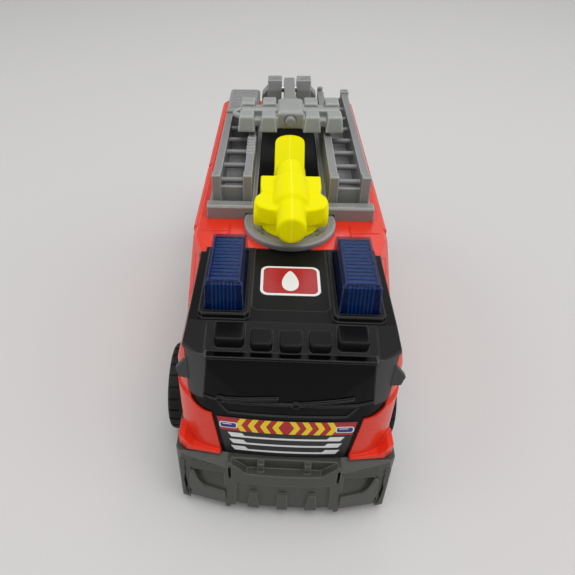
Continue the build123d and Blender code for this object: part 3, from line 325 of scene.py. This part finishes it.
# %% Metal and lens materials
def metallic(name, colour, roughness, metal):
    """Metal, or an ink with some metal in it."""
    material = moulded(name, colour, roughness, grain=0.05, edge=0.1)
    material.node_tree.nodes["Principled BSDF"].inputs["Metallic"].default_value = metal
    return material


def clear(name, colour, shown):
    """Tinted clear plastic; shown is how much of the surface is seen before looking through."""
    material = moulded(name, colour, roughness=0.12, grain=0.0, edge=0.5, edge_wear_and_highlight=16.0, gloss=0.12)
    shader = material.node_tree.nodes["Principled BSDF"]
    shader.inputs["Alpha"].default_value = shown
    shader.inputs["IOR"].default_value = 1.49
    return material


guide = {"roughness": 0.2, "grain": 0.02, "edge": 0.1}
steel = metallic("steel", (0.6, 0.6, 0.6), roughness=0.3, metal=1.0)
silver_print = metallic("silver_print", (0.78, 0.78, 0.78), roughness=0.35, metal=0.2)
blue_lens = clear("blue_lens", (0.002, 0.008, 0.042), shown=0.46)
# Bright ribs and dark core: lit and shaded copies of one blue guide, painted light and painted
# shade.
guide_lit_blue = moulded("guide_lit_blue", (0.010, 0.085, 0.34), gloss=0.15, **guide)
guide_shaded_blue = moulded("guide_shaded_blue", (0.002, 0.009, 0.060), gloss=0.1, **guide)
red_lens = clear("red_lens", (0.6, 0.01, 0.01), shown=0.9)
print("materials, with the frame's own:", len(bpy.data.materials))

# %% [markdown]
# ## Finishing the frame's pieces
#
# Each piece of the frame keeps its mesh and only gets a finish. The record says which finish a
# piece has, so one table from finish name to material dresses the whole truck. Two grey pieces
# have a shade of their own.

# %% Dress the frame
finishes = {
    "red_plastic": red,
    "black_plastic": black,
    "window_black": glazing,
    "olive_plastic": olive,
    "grey_plastic": grey,
    "yellow_plastic": yellow,
    "blue_lens": blue_lens,
    "red_lens": red_lens,
    "led_white": lamp_white,
    "tyre": tyre_black,
    "rim": rim_grey,
    "steel": steel,
    "sleeve_rubber": sleeve,
    "board_green": board,
    "battery_case": cell,
    "grille_print": black_print,
    "badge_print": white_print,
}
own_shade = {"mast_head": pale_grey, "turntable": ring_grey}
slot_of = {finish: name for name, finish in finishes.items()}
slot_of[pale_grey] = "grey_plastic"
for part in frame["record"]["subparts"]:
    node = frame["nodes"][part["node"]]
    finish = own_shade.get(part["node"], finishes[part["material_slot"]])
    if node.material_slots:
        for place in node.material_slots:
            place.material = finish
    else:
        node.data.materials.append(finish)

# %% [markdown]
# ## From a bmesh to a piece of the truck
#
# A bmesh is a mesh on the workbench. When it is done, its doubled corners are merged, its faces
# are turned outwards, and it becomes an object that rides on one of the truck's bodies. Pulling a
# face out to a thickness is the step that most shapes here share, so it has a helper too.

# %% Helpers for new pieces
merge_distance = 0.001 * MM


def flat_face(shape, points):
    """Adds one face through points in millimetres."""
    return shape.faces.new([shape.verts.new(Vector(point) * MM) for point in points])


def pulled(shape, faces, **how):
    """Extrudes faces and returns the new corners, which still lie on the old ones."""
    grown = bmesh.ops.extrude_face_region(shape, geom=faces, **how)
    return [item for item in grown["geom"] if isinstance(item, bmesh.types.BMVert)]


def finish_piece(name, mesh_data, material, body):
    """Turns a bmesh into an object that rides on a body."""
    bmesh.ops.remove_doubles(mesh_data, verts=mesh_data.verts, dist=merge_distance)
    bmesh.ops.recalc_face_normals(mesh_data, faces=mesh_data.faces)
    data = bpy.data.meshes.new(name)
    mesh_data.to_mesh(data)
    mesh_data.free()
    piece = bpy.data.objects.new(name, data)
    bpy.context.scene.collection.objects.link(piece)
    data.materials.append(material)
    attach(piece, body)
    print(name, "has", len(data.polygons), "faces")


# %% [markdown]
# ## Tools for thin printed shapes
#
# A sticker's print is flat artwork that follows the surface under it. The cab face is gently
# bowed, so each shape is drawn as an outline of x and z, cut into narrow strips, laid onto the bow
# and given a hair of thickness. Cutting first matters: a long flat shape would sink into a curved
# face between its corners.

# %% Printed shapes that follow a surface
def print_shapes(name, outlines, lay, material, strips=24, thick=0.06):
    """Flat outlines of (u, v), laid onto a surface; lay gives the point for (u, v, height)."""
    shape = bmesh.new()
    for outline in outlines:
        shape.faces.new([shape.verts.new((u, 0, v)) for u, v in outline])
    start = min(v.co.x for v in shape.verts)
    end = max(v.co.x for v in shape.verts)
    for i in range(1, strips):
        cut = start + (end - start) * i / strips
        everything = shape.verts[:] + shape.edges[:] + shape.faces[:]
        bmesh.ops.bisect_plane(shape, geom=everything, plane_co=(cut, 0, 0), plane_no=(1, 0, 0))
    bottom = shape.verts[:]
    top = pulled(shape, shape.faces[:])
    for verts, height in ((bottom, 0), (top, thick)):
        for vert in verts:
            vert.co = lay(vert.co.x, vert.co.z, height) * MM
    finish_piece(name, shape, material, "truck")


def rounded(x0, x1, y0, y1, radius, steps=6):
    """Outline of a rectangle with round corners."""
    outline = []
    corners = ((x1 - radius, y1 - radius), (x0 + radius, y1 - radius),
               (x0 + radius, y0 + radius), (x1 - radius, y0 + radius))
    for quarter, (cx, cy) in enumerate(corners):
        for i in range(steps + 1):
            angle = math.radians(90 * quarter + 90 * i / steps)
            outline.append((cx + radius * math.cos(angle), cy + radius * math.sin(angle)))
    return outline


print("points of a rounded outline:", len(rounded(0, 2, 0, 1, 0.2)))

# %% [markdown]
# ## The grille sticker
#
# The printed grille has three silver bars with stepped ends under a band of red and yellow
# chevrons, with a small blue lamp printed at each end of the band. All of it could be one painted
# picture, but shapes stay sharp at any distance and need no picture file. First comes the surface:
# the sticker is bowed, and it widens towards its head.

# %% Where the grille sticker lies
grille_low, grille_high = (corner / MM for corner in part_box("grille_sticker"))
face_front, face_drop, bow_half = grille_low.y, 1.1, 22.0
foot_half, head_half = 19.6, grille_high.x
foot_z, head_z = grille_low.z, grille_high.z
print("grille sticker from z", round(foot_z, 1), "to", round(head_z, 1), "mm")


def on_grille(x, z, height):
    """Point on the bowed sticker, height millimetres in front of it."""
    bow = face_drop * (x / bow_half) ** 2
    return Vector((x, face_front + bow - height, z))


def half_at(z, margin=0.0):
    """Half width of the sticker at height z."""
    return foot_half + (head_half - foot_half) * (z - foot_z) / (head_z - foot_z) - margin


# %% [markdown]
# ## The chevron band
#
# The band is one red ground with yellow arrows that point to the middle from both sides. An arrow
# is an outline with six corners. A loop sets four of them on each side, and the left ones are the
# right ones with their x turned round.

# %% Chevron band
band_height, band_gap, band_margin = 6.6, 0.2, 0.3
band_low, band_high = head_z - band_height, head_z - band_gap
band_middle = (band_low + band_high) / 2
low_half, high_half = half_at(band_low, band_margin), half_at(band_high, band_margin)
band = [(-low_half, band_low), (low_half, band_low),
        (high_half, band_high), (-high_half, band_high)]
print_shapes("chevron_ground", [band], on_grille, red_print)

stripes_per_side, first_stripe = 4, 0.9
stripe_width, stripe_pitch, stripe_tip = 1.9, 3.9, 1.6
stripes = []
for side in (-1, 1):
    for i in range(stripes_per_side):
        near = first_stripe + i * stripe_pitch
        far = near + stripe_width
        arrow = ((near, band_low), (far, band_low), (far + stripe_tip, band_middle),
                 (far, band_high), (near, band_high), (near + stripe_tip, band_middle))
        stripes.append([(side * x, z) for x, z in arrow])
print_shapes("chevron_stripes", stripes, on_grille, yellow_print, thick=0.1)

# %% [markdown]
# ## Printed lamps
#
# At each end of the band a blue lamp is printed in a silver rim, with a short white glint. They
# are three rounded outlines, each a hair thicker than the one below it, so that the upper ink
# covers the lower one.

# %% Lamps on the sticker
lamp_x, lamp_foot = 18.4, band_low + 1.2
# Each ink: left, right, foot and top from the middle of the lamp's foot, corner and thickness.
lamp_inks = (
    ("lamp_rims", silver_print, -2.9, 2.9, 0.0, 3.0, 0.9, 0.12),
    ("printed_lamps", blue_print, -2.5, 2.5, 0.35, 2.65, 0.7, 0.14),
    ("lamp_glints", white_print, -1.9, 1.1, 1.9, 2.25, 0.15, 0.16),
)
for name, lamp_ink, left, right, foot, top, corner_radius, thick in lamp_inks:
    outlines = []
    for x in (-lamp_x, lamp_x):
        sides, heights = (x + left, x + right), (lamp_foot + foot, lamp_foot + top)
        outlines.append(rounded(*sides, *heights, corner_radius))
    print_shapes(name, outlines, on_grille, lamp_ink, thick=thick)

# %% [markdown]
# ## Silver bars
#
# The three bars are thin in the middle and step up to a slanting block at each end. Each half is
# one outline again, mirrored for the other side, and a loop sets the bars under each other.

# %% Bars of the grille
bar_count, bar_pitch, first_gap = 3, 3.5, 1.1
bar_height, bar_step, bar_margin = 2.1, 1.3, 2.4
foot_slant, block_width, step_width = 1.2, 4.6, 5.6
bars = []
for i in range(bar_count):
    top = band_low - first_gap - bar_pitch * i
    foot, middle = top - bar_height, top - bar_step
    outer = half_at(top, bar_margin)
    half_bar = ((0, foot), (outer - foot_slant, foot), (outer, top), (outer - block_width, top),
                (outer - step_width, middle), (0, middle))
    for side in (-1, 1):
        bars.append([(side * x, z) for x, z in half_bar])
print_shapes("silver_bars", bars, on_grille, silver_print, thick=0.1)

# %% [markdown]
# ## The roof badge
#
# A white sticker lies on the sunk panel of the cab roof. Its design here is a generic one: a red
# field with a plain white drop. A drop could be drawn point by point, but one formula gives a
# rounder line: a circle whose width shrinks towards the tip.

# %% Where the badge lies
badge_low, badge_high = (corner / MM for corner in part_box("roof_sticker"))
sticker_thickness = 0.2
badge_rise = (badge_high.z - badge_low.z - sticker_thickness) / (badge_high.y - badge_low.y)
print("badge from y", round(badge_low.y, 2), "to", round(badge_high.y, 2), "mm")


def on_badge(x, y, height):
    """Point on the badge, height millimetres above it."""
    return Vector((x, y, badge_low.z + sticker_thickness + (y - badge_low.y) * badge_rise + height))


# %% Badge print
white_border, field_corner = 0.9, 1.8
field = rounded(
    badge_low.x + white_border, badge_high.x - white_border,
    badge_low.y + white_border, badge_high.y - white_border, field_corner,
)
print_shapes("badge_field", [field], on_badge, red_print, strips=2)

centre_y = (badge_low.y + badge_high.y) / 2
drop_half, drop_reach, drop_shift, drop_points = 3.3, 5.0, 0.2, 40
tip_share, belly_share, belly_power = 0.35, 0.65, 0.6
drop = []
for i in range(drop_points):
    turn = 2 * math.pi * i / drop_points
    belly = (1 - math.sin(turn)) / 2
    x = drop_half * math.cos(turn) * (tip_share + belly_share * belly ** belly_power)
    y = centre_y + drop_reach * math.sin(turn) - drop_shift
    drop.append((x, y))
print_shapes("badge_flame", [drop], on_badge, white_print, strips=2, thick=0.1)

# %% [markdown]
# ## Light guides under the blue lenses
#
# Inside each clear lens sits a ridged light guide: ribs across the top and upright ribs at the
# front, which break the lamp's light into bright lines. Lines in the lens's material would lie on
# its surface, and these lie under it, so they are made. The core is coloured dark and the ribs
# bright, as painted shade and painted light on one guide. The core is a cube whose eight corners
# move to a leaning block, and each rib is a triangle pulled along.

# %% Helpers for the light guides
def prism(shape, start, end, rise, across, width, height):
    """Adds a three-sided rib from start to end, tall along rise and wide along across."""
    half = across * width / 2
    face = flat_face(shape, (start - half, start + half, start + rise * height))
    bmesh.ops.translate(shape, vec=(end - start) * MM, verts=pulled(shape, [face]))


def leaning_block(shape, foot_low, foot_high, top_low, top_high):
    """Adds a block between the rectangles of its foot and its top, given by their corners."""
    for vert in bmesh.ops.create_cube(shape, size=1)["verts"]:
        low, high = (top_low, top_high) if vert.co.z > 0 else (foot_low, foot_high)
        x = high.x if vert.co.x > 0 else low.x
        y = high.y if vert.co.y > 0 else low.y
        vert.co = Vector((x, y, low.z)) * MM


# %% Light guides
guide_inset, guide_foot, guide_top = 0.45, 0.4, 0.9
front_lean, rear_lean, side_lean = 2.0, 3.2, 0.5
border = 1.0
cross_ribs, cross_share, cross_height = 12, 0.72, 0.45
upright_ribs, upright_share, upright_height = 7, 0.5, 0.25
up, ahead = Vector((0, 0, 1)), Vector((0, -1, 0))
sideways, lengthways = Vector((1, 0, 0)), Vector((0, 1, 0))
for side in ("left", "right"):
    low, high = (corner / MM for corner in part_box(f"lens_{side}"))
    foot_low = Vector((low.x + guide_inset, low.y + guide_inset, low.z + guide_foot))
    foot_high = Vector((high.x - guide_inset, high.y - guide_inset, low.z + guide_foot))
    top_low = Vector((foot_low.x + side_lean, foot_low.y + front_lean, high.z - guide_top))
    top_high = Vector((foot_high.x - side_lean, foot_high.y - rear_lean, high.z - guide_top))
    core = bmesh.new()
    leaning_block(core, foot_low, foot_high, top_low, top_high)
    finish_piece(f"light_core_{side}", core, guide_shaded_blue, "truck")

    ribs = bmesh.new()
    left_end, right_end = top_low.x + border, top_high.x - border
    pitch = (top_high.y - top_low.y - 2 * border) / cross_ribs
    for i in range(cross_ribs):
        y = top_low.y + border + (i + 0.5) * pitch
        ends = Vector((left_end, y, top_low.z)), Vector((right_end, y, top_low.z))
        prism(ribs, *ends, up, lengthways, pitch * cross_share, cross_height)
    pitch = (right_end - left_end) / upright_ribs
    for i in range(upright_ribs):
        x = left_end + (i + 0.5) * pitch
        ends = Vector((x, foot_low.y, foot_low.z)), Vector((x, top_low.y, top_low.z))
        prism(ribs, *ends, ahead, sideways, pitch * upright_share, upright_height)
    finish_piece(f"light_ribs_{side}", ribs, guide_lit_blue, "truck")

# %% [markdown]
# ## The water cannon
#
# On the moulded cannon the barrel, the wings and the round lobes flow into each other. Such a
# blend is easiest as clay: simple solids are pushed together, a voxel remesh turns them into one
# skin, and smoothing rounds the corners between them. The slots for the ears of the base are cut
# last, so they stay crisp.

# %% Solids for clay
def slab(shape, corner, opposite):
    """Adds a box between two opposite corners in millimetres."""
    cube = bmesh.ops.create_cube(shape, size=1)["verts"]
    grow = Matrix.Diagonal((*[abs(size) * MM for size in opposite - corner], 1))
    centre = Matrix.Translation((corner + opposite) / 2 * MM)
    bmesh.ops.transform(shape, matrix=centre @ grow, verts=cube)


def rod(shape, a, b, radius, radius_end=None, segments=48):
    """Adds a rod from a to b; the end radius may differ."""
    run = b - a
    made = bmesh.ops.create_cone(
        shape, cap_ends=True, segments=segments, radius1=radius * MM,
        radius2=(radius if radius_end is None else radius_end) * MM, depth=run.length * MM,
    )["verts"]
    aim = run.to_track_quat("Z", "Y").to_matrix().to_4x4()
    bmesh.ops.transform(shape, matrix=Matrix.Translation((a + b) / 2 * MM) @ aim, verts=made)


def ball(shape, centre, radii):
    """Adds an ellipsoid."""
    made = bmesh.ops.create_uvsphere(shape, u_segments=48, v_segments=24, radius=MM)["verts"]
    grow = Matrix.Diagonal((*radii, 1))
    bmesh.ops.transform(shape, matrix=Matrix.Translation(centre * MM) @ grow, verts=made)


def plate(shape, half, low, high):
    """Adds a flat plate between two heights from the +X half of its outline."""
    outline = half + [(-x, y) for x, y in reversed(half)]
    face = flat_face(shape, [(x, y, low) for x, y in outline])
    bmesh.ops.translate(shape, vec=(0, 0, (high - low) * MM), verts=pulled(shape, [face]))


print("solids for clay: slab, rod, ball, plate")

# %% One skin round the clay
voxel_size, smooth_factor = 0.32 * MM, 0.5


def to_object(name, shape):
    """Plain object from a bmesh, for use as clay or as a cutter."""
    bmesh.ops.recalc_face_normals(shape, faces=shape.faces)
    data = bpy.data.meshes.new(name)
    shape.to_mesh(data)
    shape.free()
    made = bpy.data.objects.new(name, data)
    bpy.context.scene.collection.objects.link(made)
    return made


def from_clay(name, clay, smoothing, material, body, cutters=()):
    """One smooth skin round the clay, cut by the cutters, as a piece that rides on a body."""
    form = to_object(name + "_clay", clay)
    skin = form.modifiers.new("one_skin", "REMESH")
    skin.mode = "VOXEL"
    skin.voxel_size = voxel_size
    blend = form.modifiers.new("blend", "SMOOTH")
    blend.factor = smooth_factor
    blend.iterations = smoothing
    for tool in cutters:
        cut = form.modifiers.new(tool.name, "BOOLEAN")
        cut.operation = "DIFFERENCE"
        cut.object = tool
    shaped = form.evaluated_get(bpy.context.evaluated_depsgraph_get())
    data = bpy.data.meshes.new_from_object(shaped)
    for helper in (*cutters, form):
        bpy.data.objects.remove(helper)
    data.materials.clear()
    data.materials.append(material)
    data.shade_smooth()
    piece = bpy.data.objects.new(name, data)
    bpy.context.scene.collection.objects.link(piece)
    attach(piece, body)
    print(name, "has", len(data.polygons), "faces")
    return piece


# %% Sizes of the cannon
cannon_low, cannon_high = (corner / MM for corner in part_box("cannon"))
pin_low, pin_high = (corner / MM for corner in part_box("cannon_pin"))
pin = (pin_low + pin_high) / 2
axis_z = pin.z + 2.9
muzzle_y, tail_y, lobe_end = cannon_low.y, cannon_high.y, cannon_high.x
muzzle_radius, barrel_radius, muzzle_chamfer = 4.5, 5.0, 0.7
collar_radius, collar_front_radius, collar_bulge = 6.7, 5.2, 6.2
collar_front, collar_full, collar_rear = -40.6, -39.2, -24
tail_radius, tail_end_radius, tail_start, tail_drop = 5.8, 4.7, -26, 0.5
tail_taper, tail_cap, tail_round, tail_round_radii = 3.4, 1.2, 1.8, (4.9, 2.0, 4.9)
lobe_root, lobe_radius, lobe_end_radius, lobe_chamfer = 5, 4.9, 4.0, 0.9
wing_below, wing_above, star_below, star_above = 2.4, 2.5, 4.6, 2.0
wing = [(3, -33), (10.2, -31), (10.9, -27.2), (11.1, -18.7), (4, -18.7)]
star = [(4, -43), (7.4, -42.6), (11.2, -40.6), (12.7, -37.6), (12.4, -33.4), (9.9, -29.8), (4, -26)]


def on_axis(y, drop=0.0):
    """Point on the barrel's axis at y, or a little below it."""
    return Vector((0, y, axis_z - drop))


def on_pin(x):
    """Point on the line of the pin that the cannon tilts on."""
    return Vector((x, pin.y, pin.z))


print("barrel from y", round(muzzle_y, 1), "to", round(tail_y, 1), "at z", round(axis_z, 1))

# %% Clay form of the cannon
clay = bmesh.new()
muzzle_full, tail_full = muzzle_y + muzzle_chamfer, tail_y - tail_taper
rod(clay, on_axis(muzzle_y), on_axis(muzzle_full), muzzle_radius, barrel_radius)
rod(clay, on_axis(muzzle_full), on_axis(pin.y), barrel_radius)
rod(clay, on_axis(collar_front), on_axis(collar_full), collar_front_radius, collar_radius)
rod(clay, on_axis(collar_full), on_axis(collar_rear), collar_radius)
ball(clay, on_axis(collar_rear), (collar_radius, collar_bulge, collar_radius))
rod(clay, on_axis(tail_start, tail_drop), on_axis(tail_full, tail_drop), tail_radius)
tail_ends = on_axis(tail_full, tail_drop), on_axis(tail_y - tail_cap, tail_drop)
rod(clay, *tail_ends, tail_radius, tail_end_radius)
ball(clay, on_axis(tail_y - tail_round, tail_drop), tail_round_radii)
plate(clay, wing, axis_z - wing_below, axis_z + wing_above)
plate(clay, star, axis_z - star_below, axis_z + star_above)
for side in (-1, 1):
    lobe_full = side * (lobe_end - lobe_chamfer)
    rod(clay, on_pin(side * lobe_root), on_pin(lobe_full), lobe_radius)
    rod(clay, on_pin(lobe_full), on_pin(side * lobe_end), lobe_radius, lobe_end_radius)
print("clay faces of the cannon:", len(clay.faces))

# %% Slots and bore
slot_inner, slot_outer, slot_radius, slot_depth = 7.35, 10.65, 3.25, 8
bore_half, bore_radius = 20, 1.3
slot_shape, round_shape, bore_shape = bmesh.new(), bmesh.new(), bmesh.new()
for side in (-1, 1):
    inner, outer = side * slot_inner, side * slot_outer
    lower = Vector((inner, pin.y - slot_radius, pin.z - slot_depth))
    slab(slot_shape, lower, Vector((outer, pin.y + slot_radius, pin.z)))
    rod(round_shape, on_pin(inner), on_pin(outer), slot_radius)
rod(bore_shape, on_pin(-bore_half), on_pin(bore_half), bore_radius)
slots = to_object("slot_cutter", slot_shape)
rounds = to_object("round_cutter", round_shape)
bore = to_object("bore_cutter", bore_shape)
cannon = from_clay("water_cannon", clay, 16, yellow, "cannon", (slots, rounds, bore))
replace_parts(cannon, "cannon")

# %% [markdown]
# ## Soft edges of the mast
#
# The lamp head and the arm of the mast are thick mouldings with soft edges. Their forms are right
# in the frame, but every edge is sharp. A bevel needs clean faces, and the frame's meshes are
# loose triangles, so a merged copy is used as clay: the remesh gives even faces, and a few rounds
# of smoothing take the edge off.

# %% Mast head and arm
loose_gap = 0.002 * MM
for name, source, smoothing in (("soft_head", "mast_head", 6), ("soft_arm", "mast_arm", 4)):
    rough = bmesh.new()
    rough.from_mesh(frame["nodes"][source].data)
    bmesh.ops.remove_doubles(rough, verts=rough.verts, dist=loose_gap)
    finish = pale_grey if source == "mast_head" else grey
    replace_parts(from_clay(name, rough, smoothing, finish, "mast"), source)

# %% [markdown]
# ## The foot of the cannon
#
# The cannon stands on a low yellow disc with two ears that hold its pin. Disc and ears are one
# moulding with soft corners, so they are clay again: a disc with a chamfer, and for each ear a
# slab with a round head.

# %% Disc and ears
base_low, base_high = (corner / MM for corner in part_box("cannon_base"))
disc_radius = (base_high.x - base_low.x) / 2
disc_y, disc_top, disc_chamfer = base_low.y + disc_radius, pin.z - 5.1, 0.7
ear_inner, ear_outer, ear_radius, ear_front, ear_root = 8.0, 10.0, 2.6, 1.0, 1.0
disc_heights = (base_low.z, disc_top - disc_chamfer, disc_top)
disc_foot, disc_edge, disc_cap = (Vector((0, disc_y, z)) for z in disc_heights)
clay = bmesh.new()
rod(clay, disc_foot, disc_edge, disc_radius)
rod(clay, disc_edge, disc_cap, disc_radius, disc_radius - disc_chamfer)
for side in (-1, 1):
    inner, outer = side * ear_inner, side * ear_outer
    lower = Vector((inner, pin.y - ear_front, disc_top - ear_root))
    slab(clay, lower, Vector((outer, pin.y + ear_radius, pin.z)))
    rod(clay, on_pin(inner), on_pin(outer), ear_radius)
cannon_foot = from_clay("cannon_foot", clay, 8, yellow, "turntable")
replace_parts(cannon_foot, "cannon_base")

# %% [markdown]
# ## Where the leaning cab meets the box
#
# The cab walls lean in and the box behind them stands upright, and a three-cornered facet joins
# the two. The shell is open there, so a plate under its skin closes the wall. It is two flat faces
# that share an edge, given a thickness towards the inside, and it lies a hair below the outer skin
# so that only the open corner shows it.

# %% Plates behind the cab doors
belt_z, plate_top, roof_z = 64.7, 80.0, 81.5
box_half, roof_half = 34.7, 30.3
belt_y, lean_top_y, box_top_y = -61.9, -50.0, -35.8
window_rear_y, below_skin, plate_thickness = -61.55, 0.06, 0.9


def at_height(start, end, z):
    """Point at height z on the line from start to end."""
    return start.lerp(end, (z - start.z) / (end.z - start.z))


foot = Vector((box_half - below_skin, belt_y, belt_z))
lean_top = at_height(foot, Vector((roof_half - below_skin, lean_top_y, roof_z)), plate_top)
box_top = at_height(foot, Vector((box_half - below_skin, box_top_y, roof_z)), plate_top)
meets_window = foot.lerp(lean_top, (window_rear_y - foot.y) / (lean_top.y - foot.y))
above_window = Vector((lean_top.x, window_rear_y, plate_top))
rear_face = (foot, box_top, lean_top, meets_window)
window_face = (meets_window, lean_top, above_window)
for side, name in ((1, "right"), (-1, "left")):
    cover = bmesh.new()
    for outline in (rear_face, window_face):
        flat_face(cover, [(side * point.x, point.y, point.z) for point in outline])
    bmesh.ops.remove_doubles(cover, verts=cover.verts, dist=merge_distance)
    inner_side = pulled(cover, cover.faces[:], use_keep_orig=True)
    inwards = Vector((-side * plate_thickness * MM, 0, 0))
    bmesh.ops.translate(cover, verts=inner_side, vec=inwards)
    finish_piece(f"cab_infill_{name}", cover, red, "truck")

# %% [markdown]
# ## Relief on the bumper
#
# The outer parts of the bumper are sculpted: a brow runs under the red corners, a raised ledge
# steps down towards the outside, and an upright fin closes the end. They are clay again, laid on
# the slanting face and smoothed into it. Each is an outline whose front stands proud by an amount
# that changes with height.

# %% Outlines on the bumper
corner_low, corner_high = (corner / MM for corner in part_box("chassis"))
face_near, middle_half = corner_low.y + 1.3, 19.4
face_slant, relief_root = 3.5 / 15.8, 1.6
brow = [(19.9, 28.0), (19.9, 25.6), (27.5, 24.7), (30.8, 24.2), (32.6, 27.6)]
ledge = [(19.9, 5.0), (19.9, 13.9), (27.2, 14.7), (29.0, 17.0), (30.6, 22.6), (32.2, 22.6),
         (33.0, 15), (33.0, 5.0)]
fin = [(33.7, 5.0), (34.6, 9), (34.8, 15), (34.2, 19), (33.8, 26.5), (36.0, 26.5), (36.1, 5.0)]


def bumper_face(x):
    """Depth of the bumper's outer face beside the middle part."""
    return face_near + (abs(x) - middle_half) * face_slant


print("bumper face from y", round(bumper_face(20), 1), "to", round(bumper_face(36), 1), "mm")

# %% Clay for the bumper
def relief(shape, points, side, low_z, low_proud, high_z, high_proud):
    """Adds a plate on the bumper face, proud by an amount that changes with height."""
    front = []
    for x, z in points:
        rise = min(1, max(0, (z - low_z) / (high_z - low_z)))
        proud = low_proud + (high_proud - low_proud) * rise
        front.append((side * x, bumper_face(x) - proud, z))
    for vert in pulled(shape, [flat_face(shape, front)]):
        vert.co.y = (bumper_face(vert.co.x / MM) + relief_root) * MM


clay = bmesh.new()
for side in (-1, 1):
    relief(clay, brow, side, low_z=24.2, low_proud=1.3, high_z=28.0, high_proud=0.0)
    relief(clay, ledge, side, low_z=5.0, low_proud=0.0, high_z=14.0, high_proud=1.2)
    relief(clay, fin, side, low_z=5.0, low_proud=0.9, high_z=26.5, high_proud=0.5)
from_clay("bumper_relief", clay, 4, olive, "truck")

# %% [markdown]
# ## The studio
#
# The toy stands on one pale sheet. A large soft lamp hangs above it and a little in front, and a
# faint one behind it gives the rear edges a rim of light. The world around is brighter at the
# sides than in front and above, so that the side faces catch a soft sheen and the windscreen
# stays dark.

# %% Floor
floor_half = 3.0
floor = bmesh.new()
bmesh.ops.create_grid(floor, x_segments=1, y_segments=1, size=floor_half)
floor_data = bpy.data.meshes.new("floor")
floor.to_mesh(floor_data)
floor.free()
floor_piece = bpy.data.objects.new("floor", floor_data)
bpy.context.scene.collection.objects.link(floor_piece)
paper = bpy.data.materials.new("paper")
paper.use_nodes = True
paper_shader = paper.node_tree.nodes["Principled BSDF"]
paper_shader.inputs["Base Color"].default_value = (0.60, 0.595, 0.59, 1)
paper_shader.inputs["Roughness"].default_value = 0.7
floor_data.materials.append(paper)
print("floor:", 2 * floor_half, "m wide")

# %% World
dim, bright = 0.22, 1.15
dim_until, bright_from = 0.2, 0.9
world = bpy.data.worlds.new("studio")
bpy.context.scene.world = world
world.use_nodes = True
sky = world.node_tree
background = sky.nodes["Background"]
background.inputs["Color"].default_value = (1.0, 1.0, 1.0, 1)
to_the_side = math_node(sky, "ABSOLUTE", axes(sky, "Generated")["X"])
panels = range_node(sky, to_the_side, source=(dim_until, bright_from), target=(dim, bright))
feed(sky, panels, background.inputs["Strength"])
print("world from", dim, "in front to", bright, "at the sides")

# %% Lamps
aim_point = Vector((0, 0, 0.05))


def soft_box(name, place, size, power):
    """Square area lamp at place, in metres, aimed at the truck."""
    lamp = bpy.data.lights.new(name, "AREA")
    lamp.size = size
    lamp.energy = power
    lamp_object = bpy.data.objects.new(name, lamp)
    bpy.context.scene.collection.objects.link(lamp_object)
    lamp_object.location = place
    aim = (aim_point - Vector(place)).to_track_quat("-Z", "Y")
    lamp_object.rotation_euler = aim.to_euler()


soft_box("top_light", (0.10, -0.30, 1.2), size=1.0, power=9.5)
soft_box("back_rim", (0.1, 0.9, 0.9), size=0.5, power=1.5)
print("lamps:", len(bpy.data.lights))

# %% [markdown]
# ## The camera
#
# A camera is a place, a direction and a lens. It stands in front of the cab and looks down about
# 39 degrees. A small sideways shift of the picture keeps the framing without turning the camera.
# A tracking constraint couldn't hold the slight roll, so its three axes are worked out from the
# three angles.

# %% Camera
camera_place = Vector((-6.19, -198.21, 185.52)) * MM
pitch, yaw, roll = (math.radians(angle) for angle in (38.785, -4.257, 0.989))
ahead_x, ahead_y = math.sin(yaw) * math.cos(pitch), math.cos(yaw) * math.cos(pitch)
look = Vector((ahead_x, ahead_y, -math.sin(pitch)))
level = Vector((math.cos(yaw), -math.sin(yaw), 0))
down = look.cross(level)
right = math.cos(roll) * level + math.sin(roll) * down
below = math.cos(roll) * down - math.sin(roll) * level
turn = Matrix((right, -below, -look)).transposed()
camera_data = bpy.data.cameras.new("camera")
camera_data.lens = 33.15
camera_data.sensor_width = 36
camera_data.shift_x = 0.0826
camera_data.clip_start = 0.01
camera = bpy.data.objects.new("camera", camera_data)
bpy.context.scene.collection.objects.link(camera)
camera.matrix_world = Matrix.Translation(camera_place) @ turn.to_4x4()
bpy.context.scene.camera = camera
bpy.context.scene.view_settings.view_transform = "Standard"
print("camera with a", round(camera_data.lens, 2), "mm lens")
